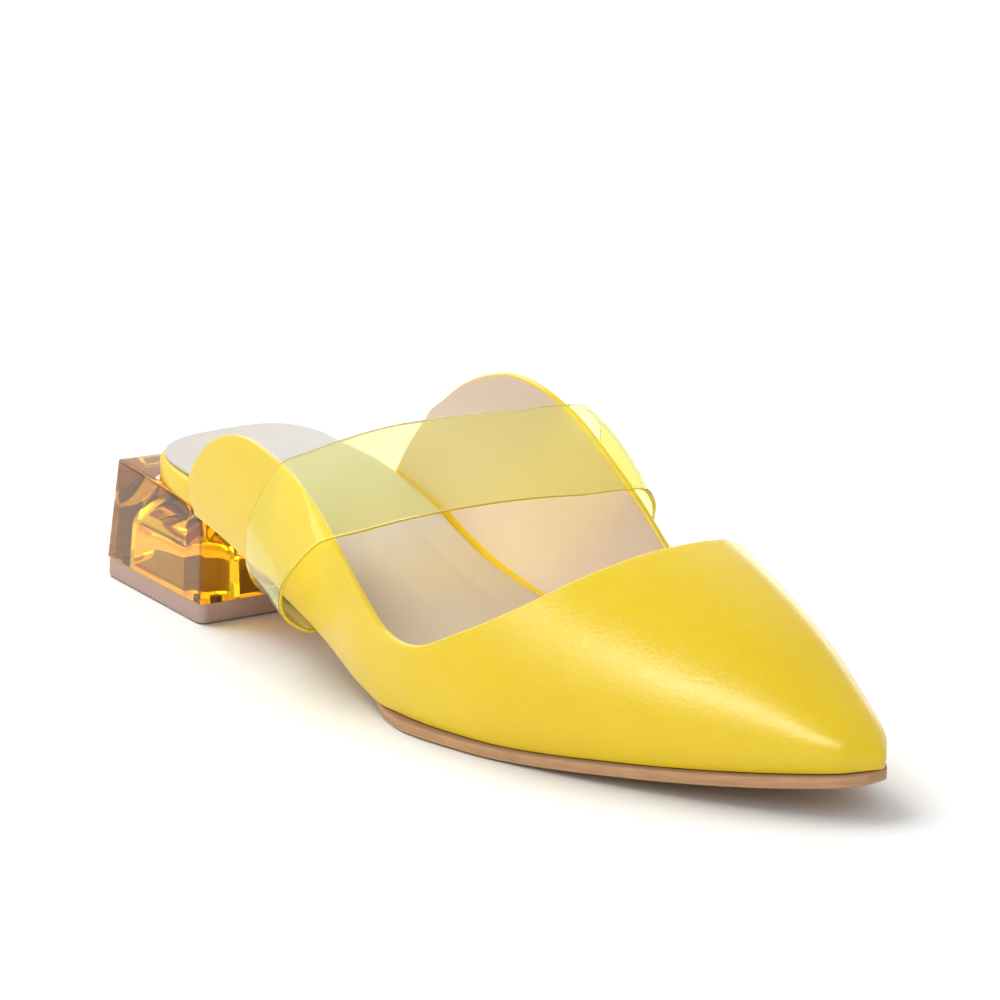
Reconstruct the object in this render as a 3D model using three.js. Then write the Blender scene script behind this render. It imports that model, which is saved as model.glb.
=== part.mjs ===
import * as THREE from "three";

// Driving sizes of the mule, in millimetres: x runs from heel to toe, y to the inner side, z up from the floor
const WALL = 1.8;
const GAP = 0.3;
const FLAT_GAP = 0.1;
const SOLE_THICK = 3.0;
const SOLE_BEVEL = 0.7;
const INSOLE_SIDE_GAP = 0.45;
const INSOLE_ROUND = 1.9;
const SOCK_THICK = 0.8;
const SOCK_INSET = 2.3;
const SOCK_WALL_INSET = 1.0;
const SOCK_WALL_X = [70, 100];
const SOCK_GAP = 0.35;
const SOCK_TIP_X = 236.0;
const INSOLE_TIP_X = 248.5;
const FOOTBED_ACROSS = 6;
const SOLE_BREAST = 2.1;
const STRAP_THICK = 1.0;
const HEEL_TURN = THREE.MathUtils.degToRad(-7.38);
const HEEL_BACK = -1.0;
const HEEL_FRONT = 55.6;
const HEEL_OUTER_Y = -28.3;
const HEEL_INNER_Y = 27.4;
const BLOCK_CORNER = 1.2;
const TIP_CORNER = 2.4;
const HEEL_FLARE = 2.8;
const TIP_THICK = 5.0;
const SEAT_CENTRE_X = 40.0;
const SEAT_BACK_X = 6.8;
const SEAT_DRIFT = 0.15;
const SEAT_POWER = 2.8;
const SEAT_BLUNT = 0.05;
const THROAT_X = 199.0;
const TOE_X = 255.2;
const SOLE_TIP_X = 254.8;
const NOSE_OUT = 0.9;
const COLUMN_LEAN = 18.0;
const LOW_SHARE = 0.18;

// Resolution of the lofts
const WING_STEPS = 34;
const VAMP_STEPS = 14;
const GIRTH_STEPS = 10;
const OUTLINE_STEPS = 40;
const STRAP_STEPS = 56;
const STRAP_ACROSS = 4;

// Sections of the upper: feather edge y on both sides, ridge, and how far up and out the side swells
const SECTION_COLUMNS = ["x", "outer", "inner", "ridgeY", "ridgeZ", "outerUp", "outerOut", "innerUp", "innerOut"];
const SECTIONS = [
  [40, -33.2, 24.4, -5.0, 100.0, 12.0, 1.2, 26.0, 2.2],
  [60, -34.8, 23.4, -5.0, 100.0, 12.0, 1.4, 27.0, 3.2],
  [80, -36.3, 21.4, -4.5, 100.0, 12.0, 1.5, 29.0, 4.9],
  [95, -37.6, 18.5, -4.2, 99.0, 12.0, 1.5, 30.0, 8.0],
  [105, -38.8, 17.6, -4.0, 98.0, 11.0, 1.5, 30.0, 9.0],
  [118, -41.0, 19.4, -3.0, 95.0, 10.0, 1.5, 28.0, 7.2],
  [130, -43.2, 24.2, -2.0, 90.0, 10.0, 1.5, 24.0, 3.5],
  [144, -45.0, 28.4, -0.5, 79.0, 9.0, 1.3, 17.0, 2.0],
  [152, -45.6, 29.6, 0.0, 72.0, 9.0, 1.2, 14.0, 1.8],
  [170, -43.8, 30.0, 2.0, 60.0, 9.0, 1.2, 11.0, 1.4],
  [190, -38.5, 26.6, 3.8, 50.5, 8.0, 1.2, 10.0, 1.3],
  [210, -31.2, 20.6, 4.0, 42.3, 7.0, 1.2, 8.0, 1.2],
  [230, -22.0, 13.8, 2.9, 32.5, 6.0, 1.2, 7.0, 1.2],
  [244, -13.6, 8.2, 1.5, 23.2, 5.0, 1.2, 5.0, 1.2],
  [251, -8.2, 4.9, 0.6, 17.8, 4.2, 1.1, 4.2, 1.1],
  [255.2, -1.5, 1.2, 0.0, 13.8, 3.0, 0.6, 3.0, 0.6],
];

// Side profile: height of the feather edge, footbed thickness, rise of its inner margin, sole edge beyond the feather edge
const PROFILE_COLUMNS = ["x", "feather", "footbed", "cup", "soleOut"];
const PROFILE = [
  [-8, 32.9, 5.4, 0.0, -3.8],
  [15, 31.7, 5.5, 0.2, -3.8],
  [30, 30.5, 5.7, 0.6, -3.8],
  [45, 28.7, 6.0, 1.4, -3.8],
  [60, 25.9, 6.3, 2.0, -3.8],
  [80, 20.4, 6.6, 2.0, -3.8],
  [95, 16.2, 6.3, 1.3, -3.8],
  [105, 13.2, 5.9, 1.1, -3.8],
  [118, 9.2, 5.2, 0.9, -3.8],
  [130, 5.8, 4.7, 0.4, -2.8],
  [143, 3.3, 4.4, 0.0, 0.4],
  [152, 3.3, 4.3, 0.0, 1.4],
  [177, 3.3, 4.0, 0.0, 1.2],
  [210, 5.1, 3.4, 0.0, 1.2],
  [235, 7.2, 2.9, 0.0, 1.3],
  [256, 9.3, 2.6, 0.0, 0.6],
];

// Top edge of the upper: place along the shoe and share of the girth from feather edge to ridge
const EDGE_COLUMNS = ["x", "share"];
const OUTER_EDGE = [
  [48.3, 0.02], [47.0, 0.09], [48.3, 0.17], [55.0, 0.25], [64.0, 0.306], [74.0, 0.335], [86.0, 0.338],
  [98.0, 0.328], [110.0, 0.312], [124.0, 0.29], [136.0, 0.266], [147.0, 0.252], [156.0, 0.266],
  [165.0, 0.322], [174.0, 0.397], [183.0, 0.515], [191.5, 0.695], [196.8, 0.875], [199.0, 1.0],
];
const INNER_EDGE = [
  [57.0, 0.02], [61.5, 0.09], [68.0, 0.156], [76.0, 0.228], [84.5, 0.3], [94.0, 0.36], [105.0, 0.413],
  [117.0, 0.452], [129.5, 0.467], [140.0, 0.449], [149.0, 0.404], [157.5, 0.338], [165.0, 0.283],
  [173.0, 0.268], [181.0, 0.325], [189.5, 0.47], [196.0, 0.68], [198.8, 0.87], [199.0, 1.0],
];

// Strap: its rear and front edges and the bow between them, from the outer tuck over the opening to the inner tuck
const STRAP_COLUMNS = ["rearX", "rearY", "rearZ", "frontX", "frontY", "frontZ", "bowY", "bowZ"];
const STRAP = [
  [86.0, -33.4, 17.9, 106.0, -35.5, 12.05, 0, 0],
  [86.0, -37.7, 17.7, 106.2, -40.0, 12.2, 0, 0],
  [86.3, -41.2, 19.6, 106.8, -43.6, 13.9, 0, 0],
  [87.0, -44.2, 25.0, 108.0, -48.6, 17.8, 0, 0],
  [88.0, -45.2, 30.5, 109.8, -51.0, 22.6, 0, 0],
  [88.8, -45.0, 36.0, 112.0, -51.0, 28.0, 0, 0],
  [89.8, -43.0, 41.5, 114.4, -48.2, 33.2, 0, 0],
  [91.2, -40.3, 47.0, 116.6, -44.6, 37.0, 0, 0],
  [93.0, -37.1, 50.9, 118.6, -41.1, 38.3, 0, 0],
  [95.5, -32.5, 52.6, 120.8, -35.9, 39.2, 0, 0],
  [100.0, -25.2, 55.6, 124.5, -27.6, 41.0, 0, 0],
  [105.6, -16.1, 58.4, 129.1, -17.1, 42.7, 0, 0],
  [111.2, -7.0, 60.0, 133.6, -6.6, 43.8, 0, 0],
  [116.7, 2.1, 60.9, 138.2, 3.8, 44.4, 0, 0],
  [122.3, 11.2, 61.4, 142.8, 14.3, 44.4, 0.0, 0.45],
  [127.4, 19.0, 62.5, 147.0, 22.8, 45.0, 0.45, 1.2],
  [130.8, 24.3, 62.35, 149.2, 28.2, 44.7, 0.6, 1.5],
  [132.5, 28.4, 59.2, 148.8, 31.9, 40.8, 1.05, 1.05],
  [131.8, 29.9, 53.5, 146.8, 33.4, 35.0, 0.6, 0.3],
  [128.0, 30.4, 44.0, 143.4, 34.0, 27.0, 0, 0],
  [121.0, 29.4, 31.0, 136.8, 32.8, 17.4, 0, 0],
  [113.6, 26.4, 18.6, 130.6, 30.2, 9.8, 0, 0],
  [108.8, 21.9, 11.9, 127.0, 25.6, 6.2, 0, 0],
  [107.4, 18.2, 11.5, 126.2, 22.6, 6.0, 0, 0],
  [107.2, 14.4, 11.7, 125.8, 19.8, 6.15, 0, 0],
];

/** Smooth curve through one named column of a table, with no overshoot between rows. */
function columnOf(columns, rows, name) {
  const at = columns.indexOf(name);
  const xs = rows.map((row) => row[0]);
  const ys = rows.map((row) => row[at]);
  const last = xs.length - 1;
  const rise = xs.slice(1).map((x, i) => (ys[i + 1] - ys[i]) / (x - xs[i]));
  const slopes = ys.map((_, i) => {
    if (i === 0) return rise[0];
    if (i === last) return rise[last - 1];
    if (rise[i - 1] * rise[i] <= 0) return 0;
    return (2 * rise[i - 1] * rise[i]) / (rise[i - 1] + rise[i]);
  });
  return (x) => {
    const held = THREE.MathUtils.clamp(x, xs[0], xs[last]);
    let i = 0;
    while (i < last - 1 && held > xs[i + 1]) i += 1;
    const span = xs[i + 1] - xs[i];
    const t = (held - xs[i]) / span;
    const near = ys[i] * (1 + 2 * t) * (1 - t) ** 2 + span * slopes[i] * t * (1 - t) ** 2;
    return near + ys[i + 1] * t * t * (3 - 2 * t) + span * slopes[i + 1] * t * t * (t - 1);
  };
}

const section = Object.fromEntries(SECTION_COLUMNS.slice(1).map((n) => [n, columnOf(SECTION_COLUMNS, SECTIONS, n)]));
const profile = Object.fromEntries(PROFILE_COLUMNS.slice(1).map((n) => [n, columnOf(PROFILE_COLUMNS, PROFILE, n)]));

const SIDES = [
  { sign: -1, feather: "outer", up: "outerUp", out: "outerOut", edge: OUTER_EDGE },
  { sign: 1, feather: "inner", up: "innerUp", out: "innerOut", edge: INNER_EDGE },
];

/** Point on the outside of the upper: share 0 at the feather edge, 1 at the ridge. */
function wallPoint(x, side, share) {
  const foot = profile.feather(x);
  const ridgeY = section.ridgeY(x);
  const up = section[side.up](x);
  const out = section[side.out](x);
  const reach = Math.abs(section[side.feather](x) - ridgeY) + out;
  if (share >= 1) return new THREE.Vector3(x, ridgeY, section.ridgeZ(x));
  if (share < LOW_SHARE) {
    const tuck = 1 - share / LOW_SHARE;
    return new THREE.Vector3(x, ridgeY + side.sign * (reach - out * tuck * tuck), foot + up * (1 - tuck));
  }
  const turn = (((share - LOW_SHARE) / (1 - LOW_SHARE)) * Math.PI) / 2;
  const rise = section.ridgeZ(x) - foot - up;
  return new THREE.Vector3(x, ridgeY + side.sign * reach * Math.cos(turn), foot + up + rise * Math.sin(turn));
}

/** Surface made of welded points and outward triangles. */
class Skin {
  constructor() {
    this.points = [];
    this.faces = [];
    this.lookup = new Map();
  }

  point(p) {
    const key = [p.x, p.y, p.z].map((v) => Math.floor(v * 1e4 + 0.37)).join(",");
    if (!this.lookup.has(key)) {
      this.lookup.set(key, this.points.length);
      this.points.push(p.clone());
    }
    return this.lookup.get(key);
  }

  face(a, b, c) {
    if (a !== b && b !== c && a !== c) this.faces.push([a, b, c]);
  }

  /** Grid of points, rows of columns, turned over when flip is set. */
  grid(rows, flip) {
    const ids = rows.map((row) => row.map((p) => this.point(p)));
    for (let i = 0; i + 1 < ids.length; i += 1) {
      for (let j = 0; j + 1 < ids[i].length; j += 1) {
        const [a, b, c, d] = [ids[i][j], ids[i + 1][j], ids[i + 1][j + 1], ids[i][j + 1]];
        if (flip) {
          this.face(a, c, b);
          this.face(a, d, c);
        } else {
          this.face(a, b, c);
          this.face(a, c, d);
        }
      }
    }
  }

  geometry(points = this.points, faces = this.faces) {
    const built = new THREE.BufferGeometry();
    built.setAttribute("position", new THREE.Float32BufferAttribute(points.flatMap((p) => [p.x, p.y, p.z]), 3));
    built.setIndex(faces.flat());
    return built;
  }

  /** Closed sheet from this surface: inner and outer offsets along the normals, joined round the border. */
  thicken(outward, inward) {
    const flat = this.geometry();
    flat.computeVertexNormals();
    const normals = flat.getAttribute("normal");
    const count = this.points.length;
    const along = (i, d) => this.points[i].clone().addScaledVector(new THREE.Vector3().fromBufferAttribute(normals, i), d);
    const points = [];
    for (let i = 0; i < count; i += 1) points.push(along(i, outward));
    for (let i = 0; i < count; i += 1) points.push(along(i, -inward));
    const faces = this.faces.map((f) => [...f]);
    faces.push(...this.faces.map(([a, b, c]) => [a + count, c + count, b + count]));
    const used = new Set(this.faces.flatMap(([a, b, c]) => [`${a},${b}`, `${b},${c}`, `${c},${a}`]));
    for (const edge of used) {
      const [a, b] = edge.split(",").map(Number);
      if (used.has(`${b},${a}`)) continue;
      faces.push([b, a, a + count], [b, a + count, b + count]);
    }
    return this.geometry(points, faces);
  }
}

/** Solid from two plan edges, heel to toe, carried through layers with their own height and inset, or edges of their own. */
function slab(edges, layers, across = 1) {
  const skin = new Skin();
  const between = (a, b) => Array.from({ length: across - 1 }, (_, j) => a.clone().lerp(b, (j + 1) / across));
  const last = edges.outer.length - 1;
  const loop = ({ outer, inner }) => [
    ...outer,
    ...between(outer[last], inner[last]),
    ...[...inner].reverse(),
    ...between(inner[0], outer[0]),
  ];
  const outline = loop(edges);
  const count = outline.length;
  const inward = outline.map((p, i) => {
    const ahead = outline[(i + 1) % count].clone().sub(p).normalize();
    const behind = p.clone().sub(outline[(i - 1 + count) % count]).normalize();
    const way = ahead.add(behind).normalize();
    return new THREE.Vector2(-way.y, way.x);
  });
  const lift = (q, height) => new THREE.Vector3(q.x, q.y, height(q.x, q.y));
  const plans = layers.map((layer) =>
    layer.edges ? loop(layer.edges) : outline.map((p, i) => p.clone().addScaledVector(inward[i], layer.inset)),
  );
  const rings = plans.map((plan, k) => plan.map((q) => lift(q, layers[k].height)));
  skin.grid(rings.map((ring) => [...ring, ring[0]]), true);
  const cap = (k, flip) => {
    const plan = plans[k];
    const facing = (i) => plan[2 * last + across - i];
    const rows = edges.outer.map((_, i) => {
      if (i === 0) return [plan[0], ...plan.slice(count - across + 1).reverse(), facing(0)];
      if (i === last) return plan.slice(last, last + across + 1);
      return [plan[i], ...between(plan[i], facing(i)), facing(i)];
    });
    skin.grid(rows.map((row) => row.map((q) => lift(q, layers[k].height))), flip);
  };
  cap(0, true);
  cap(layers.length - 1, false);
  return skin.geometry();
}

/** Places along the shoe from one end to the other, close together at both ends. */
function spacing(from, to, steps) {
  return Array.from({ length: steps + 1 }, (_, i) => from + ((to - from) * (1 - Math.cos((Math.PI * i) / steps))) / 2);
}

/** The two plan edges of a piece, each from heel to toe. */
function planOutline(outerXs, innerXs, edge) {
  const outer = outerXs.map((x) => new THREE.Vector2(x, edge(x, SIDES[0])));
  const inner = innerXs.map((x) => new THREE.Vector2(x, edge(x, SIDES[1])));
  return { outer, inner };
}

function featherInset(x, side, inset) {
  const step = 0.5;
  const slope = (section[side.feather](x + step) - section[side.feather](x - step)) / (2 * step);
  return section[side.feather](x) - side.sign * inset * Math.hypot(1, slope);
}

/** Plan edge of the footbed: round seat at the heel, then just inside the wall of the upper. */
function insoleEdge(x, side) {
  const inset = WALL + INSOLE_SIDE_GAP;
  if (x >= SEAT_CENTRE_X) return featherInset(x, side, inset);
  const [outer, inner] = SIDES.map((s) => featherInset(SEAT_CENTRE_X, s, inset));
  const back = (SEAT_CENTRE_X - x) / (SEAT_CENTRE_X - SEAT_BACK_X);
  const half = ((inner - outer) / 2) * Math.max(0, 1 - back ** SEAT_POWER) ** (1 / SEAT_POWER);
  return (outer + inner) / 2 + SEAT_DRIFT * (SEAT_CENTRE_X - x) + side.sign * half;
}

function buildUpper() {
  const skin = new Skin();
  for (const side of SIDES) {
    const shareAt = new THREE.CatmullRomCurve3(
      side.edge.map(([x, share]) => new THREE.Vector3(x, 0, 100 * share)),
      false,
      "centripetal",
    );
    const backX = side.edge[0][0];
    const columns = [];
    const walked = [0];
    const tops = [];
    const fine = 200;
    for (let i = 0; i <= fine; i += 1) {
      const p = shareAt.getPoint(i / fine);
      tops.push({ x: p.x, share: p.z > 99.999 ? 1 : p.z / 100 });
      const here = wallPoint(tops[i].x, side, tops[i].share);
      if (i > 0) walked.push(walked[i - 1] + here.distanceTo(wallPoint(tops[i - 1].x, side, tops[i - 1].share)));
    }
    for (let i = 0; i <= WING_STEPS; i += 1) {
      const part = i / WING_STEPS;
      let at = 0;
      while (at < fine && walked[at] < part * walked[fine] - 1e-9) at += 1;
      const foot = backX + (THROAT_X - backX) * part + COLUMN_LEAN * part ** 3;
      const column = [];
      for (let k = 0; k <= GIRTH_STEPS; k += 1) {
        const f = k / GIRTH_STEPS;
        column.push(wallPoint(foot + (tops[at].x - foot) * f, side, tops[at].share * f));
      }
      columns.push(column);
    }
    for (let i = 1; i <= VAMP_STEPS; i += 1) {
      const turn = Math.sin((Math.PI / 2) * (i / VAMP_STEPS));
      const ridgeX = THROAT_X + (TOE_X - THROAT_X) * turn;
      columns.push(
        Array.from({ length: GIRTH_STEPS + 1 }, (_, k) => {
          const f = k / GIRTH_STEPS;
          return wallPoint(ridgeX + COLUMN_LEAN * (1 - turn) * (1 - f), side, f);
        }),
      );
    }
    const low = profile.feather(TOE_X);
    const high = section.ridgeZ(TOE_X);
    columns.push(
      Array.from({ length: GIRTH_STEPS + 1 }, (_, k) => {
        const f = k / GIRTH_STEPS;
        return new THREE.Vector3(TOE_X + NOSE_OUT * Math.sin(Math.PI * (0.2 + 0.8 * f)), 0, low + (high - low) * f);
      }),
    );
    skin.grid(columns, side.sign > 0);
  }
  return skin.thicken(0, WALL);
}

/** Rise of the footbed towards its inner margin. */
function cupRise(x, y) {
  const middle = (insoleEdge(x, SIDES[0]) + insoleEdge(x, SIDES[1])) / 2;
  const share = THREE.MathUtils.clamp((y - middle) / (insoleEdge(x, SIDES[1]) - middle), 0, 1);
  return profile.cup(x) * share * share;
}

function footbedTop(x, y) {
  return profile.feather(x) + profile.footbed(x) + cupRise(x, y);
}

function buildInsole() {
  const xs = spacing(SEAT_BACK_X + SEAT_BLUNT, INSOLE_TIP_X, OUTLINE_STEPS);
  const top = (inset, drop) => ({ inset, height: (x, y) => footbedTop(x, y) - drop });
  const base = (inset, lift) => ({ inset, height: (x) => profile.feather(x) + lift });
  const half = INSOLE_ROUND * (1 - Math.SQRT1_2);
  const layers = [base(0.5, 0), base(0, 0.6), top(0, INSOLE_ROUND), top(half, half), top(INSOLE_ROUND, 0)];
  return slab(planOutline(xs, xs, insoleEdge), layers, FOOTBED_ACROSS);
}

function buildSock() {
  const xs = spacing(SEAT_BACK_X + SOCK_INSET + SEAT_BLUNT, SOCK_TIP_X, OUTLINE_STEPS);
  const lift = (up) => ({ inset: 0, height: (x, y) => footbedTop(x, y) + SOCK_GAP + up });
  const edge = (x, side) => {
    const back = Math.min(0, (x - SEAT_CENTRE_X) / (SEAT_CENTRE_X - SEAT_BACK_X - SOCK_INSET));
    const from = x < SEAT_CENTRE_X ? SEAT_CENTRE_X + back * (SEAT_CENTRE_X - SEAT_BACK_X) : x;
    const beside = side.sign > 0 ? THREE.MathUtils.smoothstep(x, ...SOCK_WALL_X) : 0;
    return insoleEdge(from, side) - side.sign * THREE.MathUtils.lerp(SOCK_INSET, SOCK_WALL_INSET, beside) * (1 + back);
  };
  return slab(planOutline(xs, xs, edge), [lift(0), lift(SOCK_THICK)], FOOTBED_ACROSS);
}

function buildOutsole() {
  const breast = (y) => (HEEL_FRONT - SOLE_BREAST - y * Math.sin(HEEL_TURN)) / Math.cos(HEEL_TURN);
  const edge = (x, side) => featherInset(x, side, -profile.soleOut(x));
  const outerXs = spacing(breast(edge(50, SIDES[0])), SOLE_TIP_X, OUTLINE_STEPS);
  const innerXs = spacing(breast(edge(56, SIDES[1])), SOLE_TIP_X, OUTLINE_STEPS);
  const deep = (inset, drop) => ({ inset, height: (x) => profile.feather(x) - GAP - drop });
  const layers = [deep(SOLE_BEVEL, SOLE_THICK), deep(0, SOLE_THICK - SOLE_BEVEL), deep(0, 0.4), deep(0.3, 0)];
  return slab(planOutline(outerXs, innerXs, edge), layers);
}

/** Rounded rectangle of the heel in plan, its four sides drawn in by an inset, turned to the line of the heel seat. */
function heelOutline(corner, inset = 0) {
  const back = HEEL_BACK + inset + corner;
  const front = HEEL_FRONT - inset - corner;
  const outerY = HEEL_OUTER_Y + inset + corner;
  const innerY = HEEL_INNER_Y - inset - corner;
  const centres = [
    [back, outerY, 180],
    [front, outerY, 270],
    [front, innerY, 0],
    [back, innerY, 90],
  ];
  const steps = 4;
  const points = [];
  for (const [x, y, start] of centres) {
    for (let i = 0; i <= steps; i += 1) {
      const turn = THREE.MathUtils.degToRad(start + (90 * i) / steps);
      points.push(new THREE.Vector2(x + corner * Math.cos(turn), y + corner * Math.sin(turn)));
    }
  }
  const half = steps / 2;
  const lined = [...points.slice(half), ...points.slice(0, half)];
  const turned = lined.map((p) => p.clone().rotateAround(new THREE.Vector2(0, 0), HEEL_TURN));
  const middle = turned.length / 2;
  return { outer: turned.slice(0, middle), inner: turned.slice(middle).reverse() };
}

function buildHeelBlock() {
  const low = TIP_THICK + FLAT_GAP;
  const steps = 3;
  const layers = Array.from({ length: steps + 1 }, (_, i) => {
    const t = i / steps;
    return {
      edges: heelOutline(BLOCK_CORNER, 0.2 + HEEL_FLARE * t),
      height: (x) => low + (profile.feather(x) - GAP - low) * t,
    };
  });
  return slab(heelOutline(BLOCK_CORNER), layers);
}

function buildHeelTip() {
  return slab(heelOutline(TIP_CORNER), [
    { inset: 0.4, height: () => 0 },
    { inset: 0, height: () => 0.5 },
    { inset: 0.2, height: () => TIP_THICK },
  ]);
}

function buildStrap() {
  const line = (names) => {
    const [x, y, z] = names.map((n) => STRAP_COLUMNS.indexOf(n));
    return new THREE.CatmullRomCurve3(STRAP.map((row) => new THREE.Vector3(row[x], row[y], row[z])), false, "centripetal");
  };
  const rear = line(["rearX", "rearY", "rearZ"]);
  const front = line(["frontX", "frontY", "frontZ"]);
  const [bowY, bowZ] = ["bowY", "bowZ"].map((n) => STRAP_COLUMNS.indexOf(n));
  const bow = new THREE.CatmullRomCurve3(STRAP.map((row, i) => new THREE.Vector3(i, row[bowY], row[bowZ])), false, "centripetal");
  const rows = Array.from({ length: STRAP_STEPS + 1 }, (_, i) => {
    const a = rear.getPoint(i / STRAP_STEPS);
    const b = front.getPoint(i / STRAP_STEPS);
    const lift = bow.getPoint(i / STRAP_STEPS).setX(0);
    return Array.from({ length: STRAP_ACROSS + 1 }, (__, j) => {
      const f = j / STRAP_ACROSS;
      return a.clone().lerp(b, f).addScaledVector(lift, 4 * f * (1 - f));
    });
  });
  const skin = new Skin();
  skin.grid(rows, true);
  return skin.thicken(STRAP_THICK / 2, STRAP_THICK / 2);
}

const LOOKS = {
  outsole: { color: "#b8936c", roughness: 0.6 },
  heel_tip: { color: "#a58c80", roughness: 0.5 },
  heel_block: { color: "#e59a2e", roughness: 0.15 },
  insole: { color: "#efcb3a", roughness: 0.45 },
  sock: { color: "#ded0c8", roughness: 0.7 },
  upper: { color: "#f2cc33", roughness: 0.42 },
  strap: { color: "#e4e6a0", roughness: 0.1 },
};

const BUILDERS = {
  outsole: buildOutsole,
  heel_tip: buildHeelTip,
  heel_block: buildHeelBlock,
  insole: buildInsole,
  sock: buildSock,
  upper: buildUpper,
  strap: buildStrap,
};

const mule = new THREE.Group();
mule.name = "heeled_mule";
for (const [name, build] of Object.entries(BUILDERS)) {
  const mesh = new THREE.Mesh(build(), new THREE.MeshStandardMaterial({ ...LOOKS[name], metalness: 0 }));
  mesh.name = name;
  mule.add(mesh);
}

// The origin lies under the middle of the shoe, on the floor
const extent = new THREE.Box3().setFromObject(mule);
const middle = extent.getCenter(new THREE.Vector3());
for (const mesh of mule.children) {
  mesh.geometry.translate(-middle.x, -middle.y, -extent.min.z);
  mesh.geometry.computeVertexNormals();
}

export default mule;
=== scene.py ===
"""Looks of a heeled mule: satin leather upper, clear band, leather footbed and amber resin heel."""

import logging
import math
from dataclasses import dataclass, field
from enum import Enum
from typing import Callable, Sequence

import bpy
import numpy as np
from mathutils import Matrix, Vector


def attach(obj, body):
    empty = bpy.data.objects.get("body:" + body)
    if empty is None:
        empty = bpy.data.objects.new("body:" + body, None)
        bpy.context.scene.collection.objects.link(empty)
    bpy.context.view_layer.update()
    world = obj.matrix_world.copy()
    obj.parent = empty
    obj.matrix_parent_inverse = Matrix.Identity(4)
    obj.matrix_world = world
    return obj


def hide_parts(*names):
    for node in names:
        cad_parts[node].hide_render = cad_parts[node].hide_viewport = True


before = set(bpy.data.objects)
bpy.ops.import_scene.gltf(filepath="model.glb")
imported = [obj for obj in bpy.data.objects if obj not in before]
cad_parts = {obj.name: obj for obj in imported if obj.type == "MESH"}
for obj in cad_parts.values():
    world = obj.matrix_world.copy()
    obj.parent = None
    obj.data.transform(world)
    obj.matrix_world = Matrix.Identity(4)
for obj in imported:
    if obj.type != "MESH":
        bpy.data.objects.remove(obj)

LOG = logging.getLogger("mule")
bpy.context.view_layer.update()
MM = 0.001

# Place of the frame's origin in the maker's drawing, in millimetres
ORIGIN = np.array([125.8898, -8.6233, 0.0])

# Points in one cell are joined: cells in a millimetre, and a shift that keeps round sizes off the borders
WELD_CELLS = 1e4
WELD_SHIFT = 0.37


class Side(Enum):
    """The two sides of the shoe, with the sign of y on each."""

    OUTER = -1
    INNER = 1


class Reach(Enum):
    """What a lamp of the studio lights."""

    ALL = "all"
    SHOE = "shoe"
    FLOOR = "floor"


class Slot(str, Enum):
    """Finish slots of the part."""

    LEATHER = "leather_upper"
    FOOTBED = "leather_footbed"
    LINING = "lining"
    STRAP = "clear_strap"
    SOLE = "sole"
    RESIN = "clear_heel"
    TIP = "heel_tip"


def tone(code: str) -> tuple[float, float, float, float]:
    """Turns a colour as seen on a screen into the linear colour of a shader.

    Args:
        code: colour as six hexadecimal digits after a hash.

    Returns:
        Red, green, blue and an alpha of one.
    """
    parts = [int(code[i : i + 2], 16) / 255 for i in (1, 3, 5)]
    linear = [c / 12.92 if c <= 0.04045 else ((c + 0.055) / 1.055) ** 2.4 for c in parts]
    return (linear[0], linear[1], linear[2], 1.0)


class Column:
    """Smooth curve through one column of a table, with no overshoot between rows."""

    def __init__(self, xs: Sequence[float], ys: Sequence[float]) -> None:
        """Works out the slope at each row.

        Args:
            xs: places along the shoe, rising.
            ys: the column's value at each place.
        """
        self.xs = np.asarray(xs, float)
        self.ys = np.asarray(ys, float)
        rise = np.diff(self.ys) / np.diff(self.xs)
        slopes = np.zeros_like(self.ys)
        slopes[0], slopes[-1] = rise[0], rise[-1]
        same = rise[:-1] * rise[1:] > 0
        total = np.where(same, rise[:-1] + rise[1:], 1.0)
        slopes[1:-1] = np.where(same, 2 * rise[:-1] * rise[1:] / total, 0.0)
        self.slopes = slopes

    def __call__(self, x: np.ndarray | float) -> np.ndarray:
        """Value of the column, held at the ends.

        Args:
            x: places along the shoe.

        Returns:
            One value for each place.
        """
        held = np.clip(np.asarray(x, float), self.xs[0], self.xs[-1])
        i = np.clip(np.searchsorted(self.xs, held, side="left") - 1, 0, len(self.xs) - 2)
        span = self.xs[i + 1] - self.xs[i]
        t = (held - self.xs[i]) / span
        near = self.ys[i] * (1 + 2 * t) * (1 - t) ** 2 + span * self.slopes[i] * t * (1 - t) ** 2
        return near + self.ys[i + 1] * t * t * (3 - 2 * t) + span * self.slopes[i + 1] * t * t * (t - 1)


@dataclass(frozen=True)
class Table:
    """Short table of sizes with named columns."""

    columns: tuple[str, ...]
    rows: tuple[tuple[float, ...], ...]

    def values(self, name: str) -> np.ndarray:
        """All values of one column."""
        at = self.columns.index(name)
        return np.array([row[at] for row in self.rows], float)

    def curve(self, name: str) -> Column:
        """Smooth curve of one column over the first."""
        return Column(self.values(self.columns[0]), self.values(name))


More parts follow.
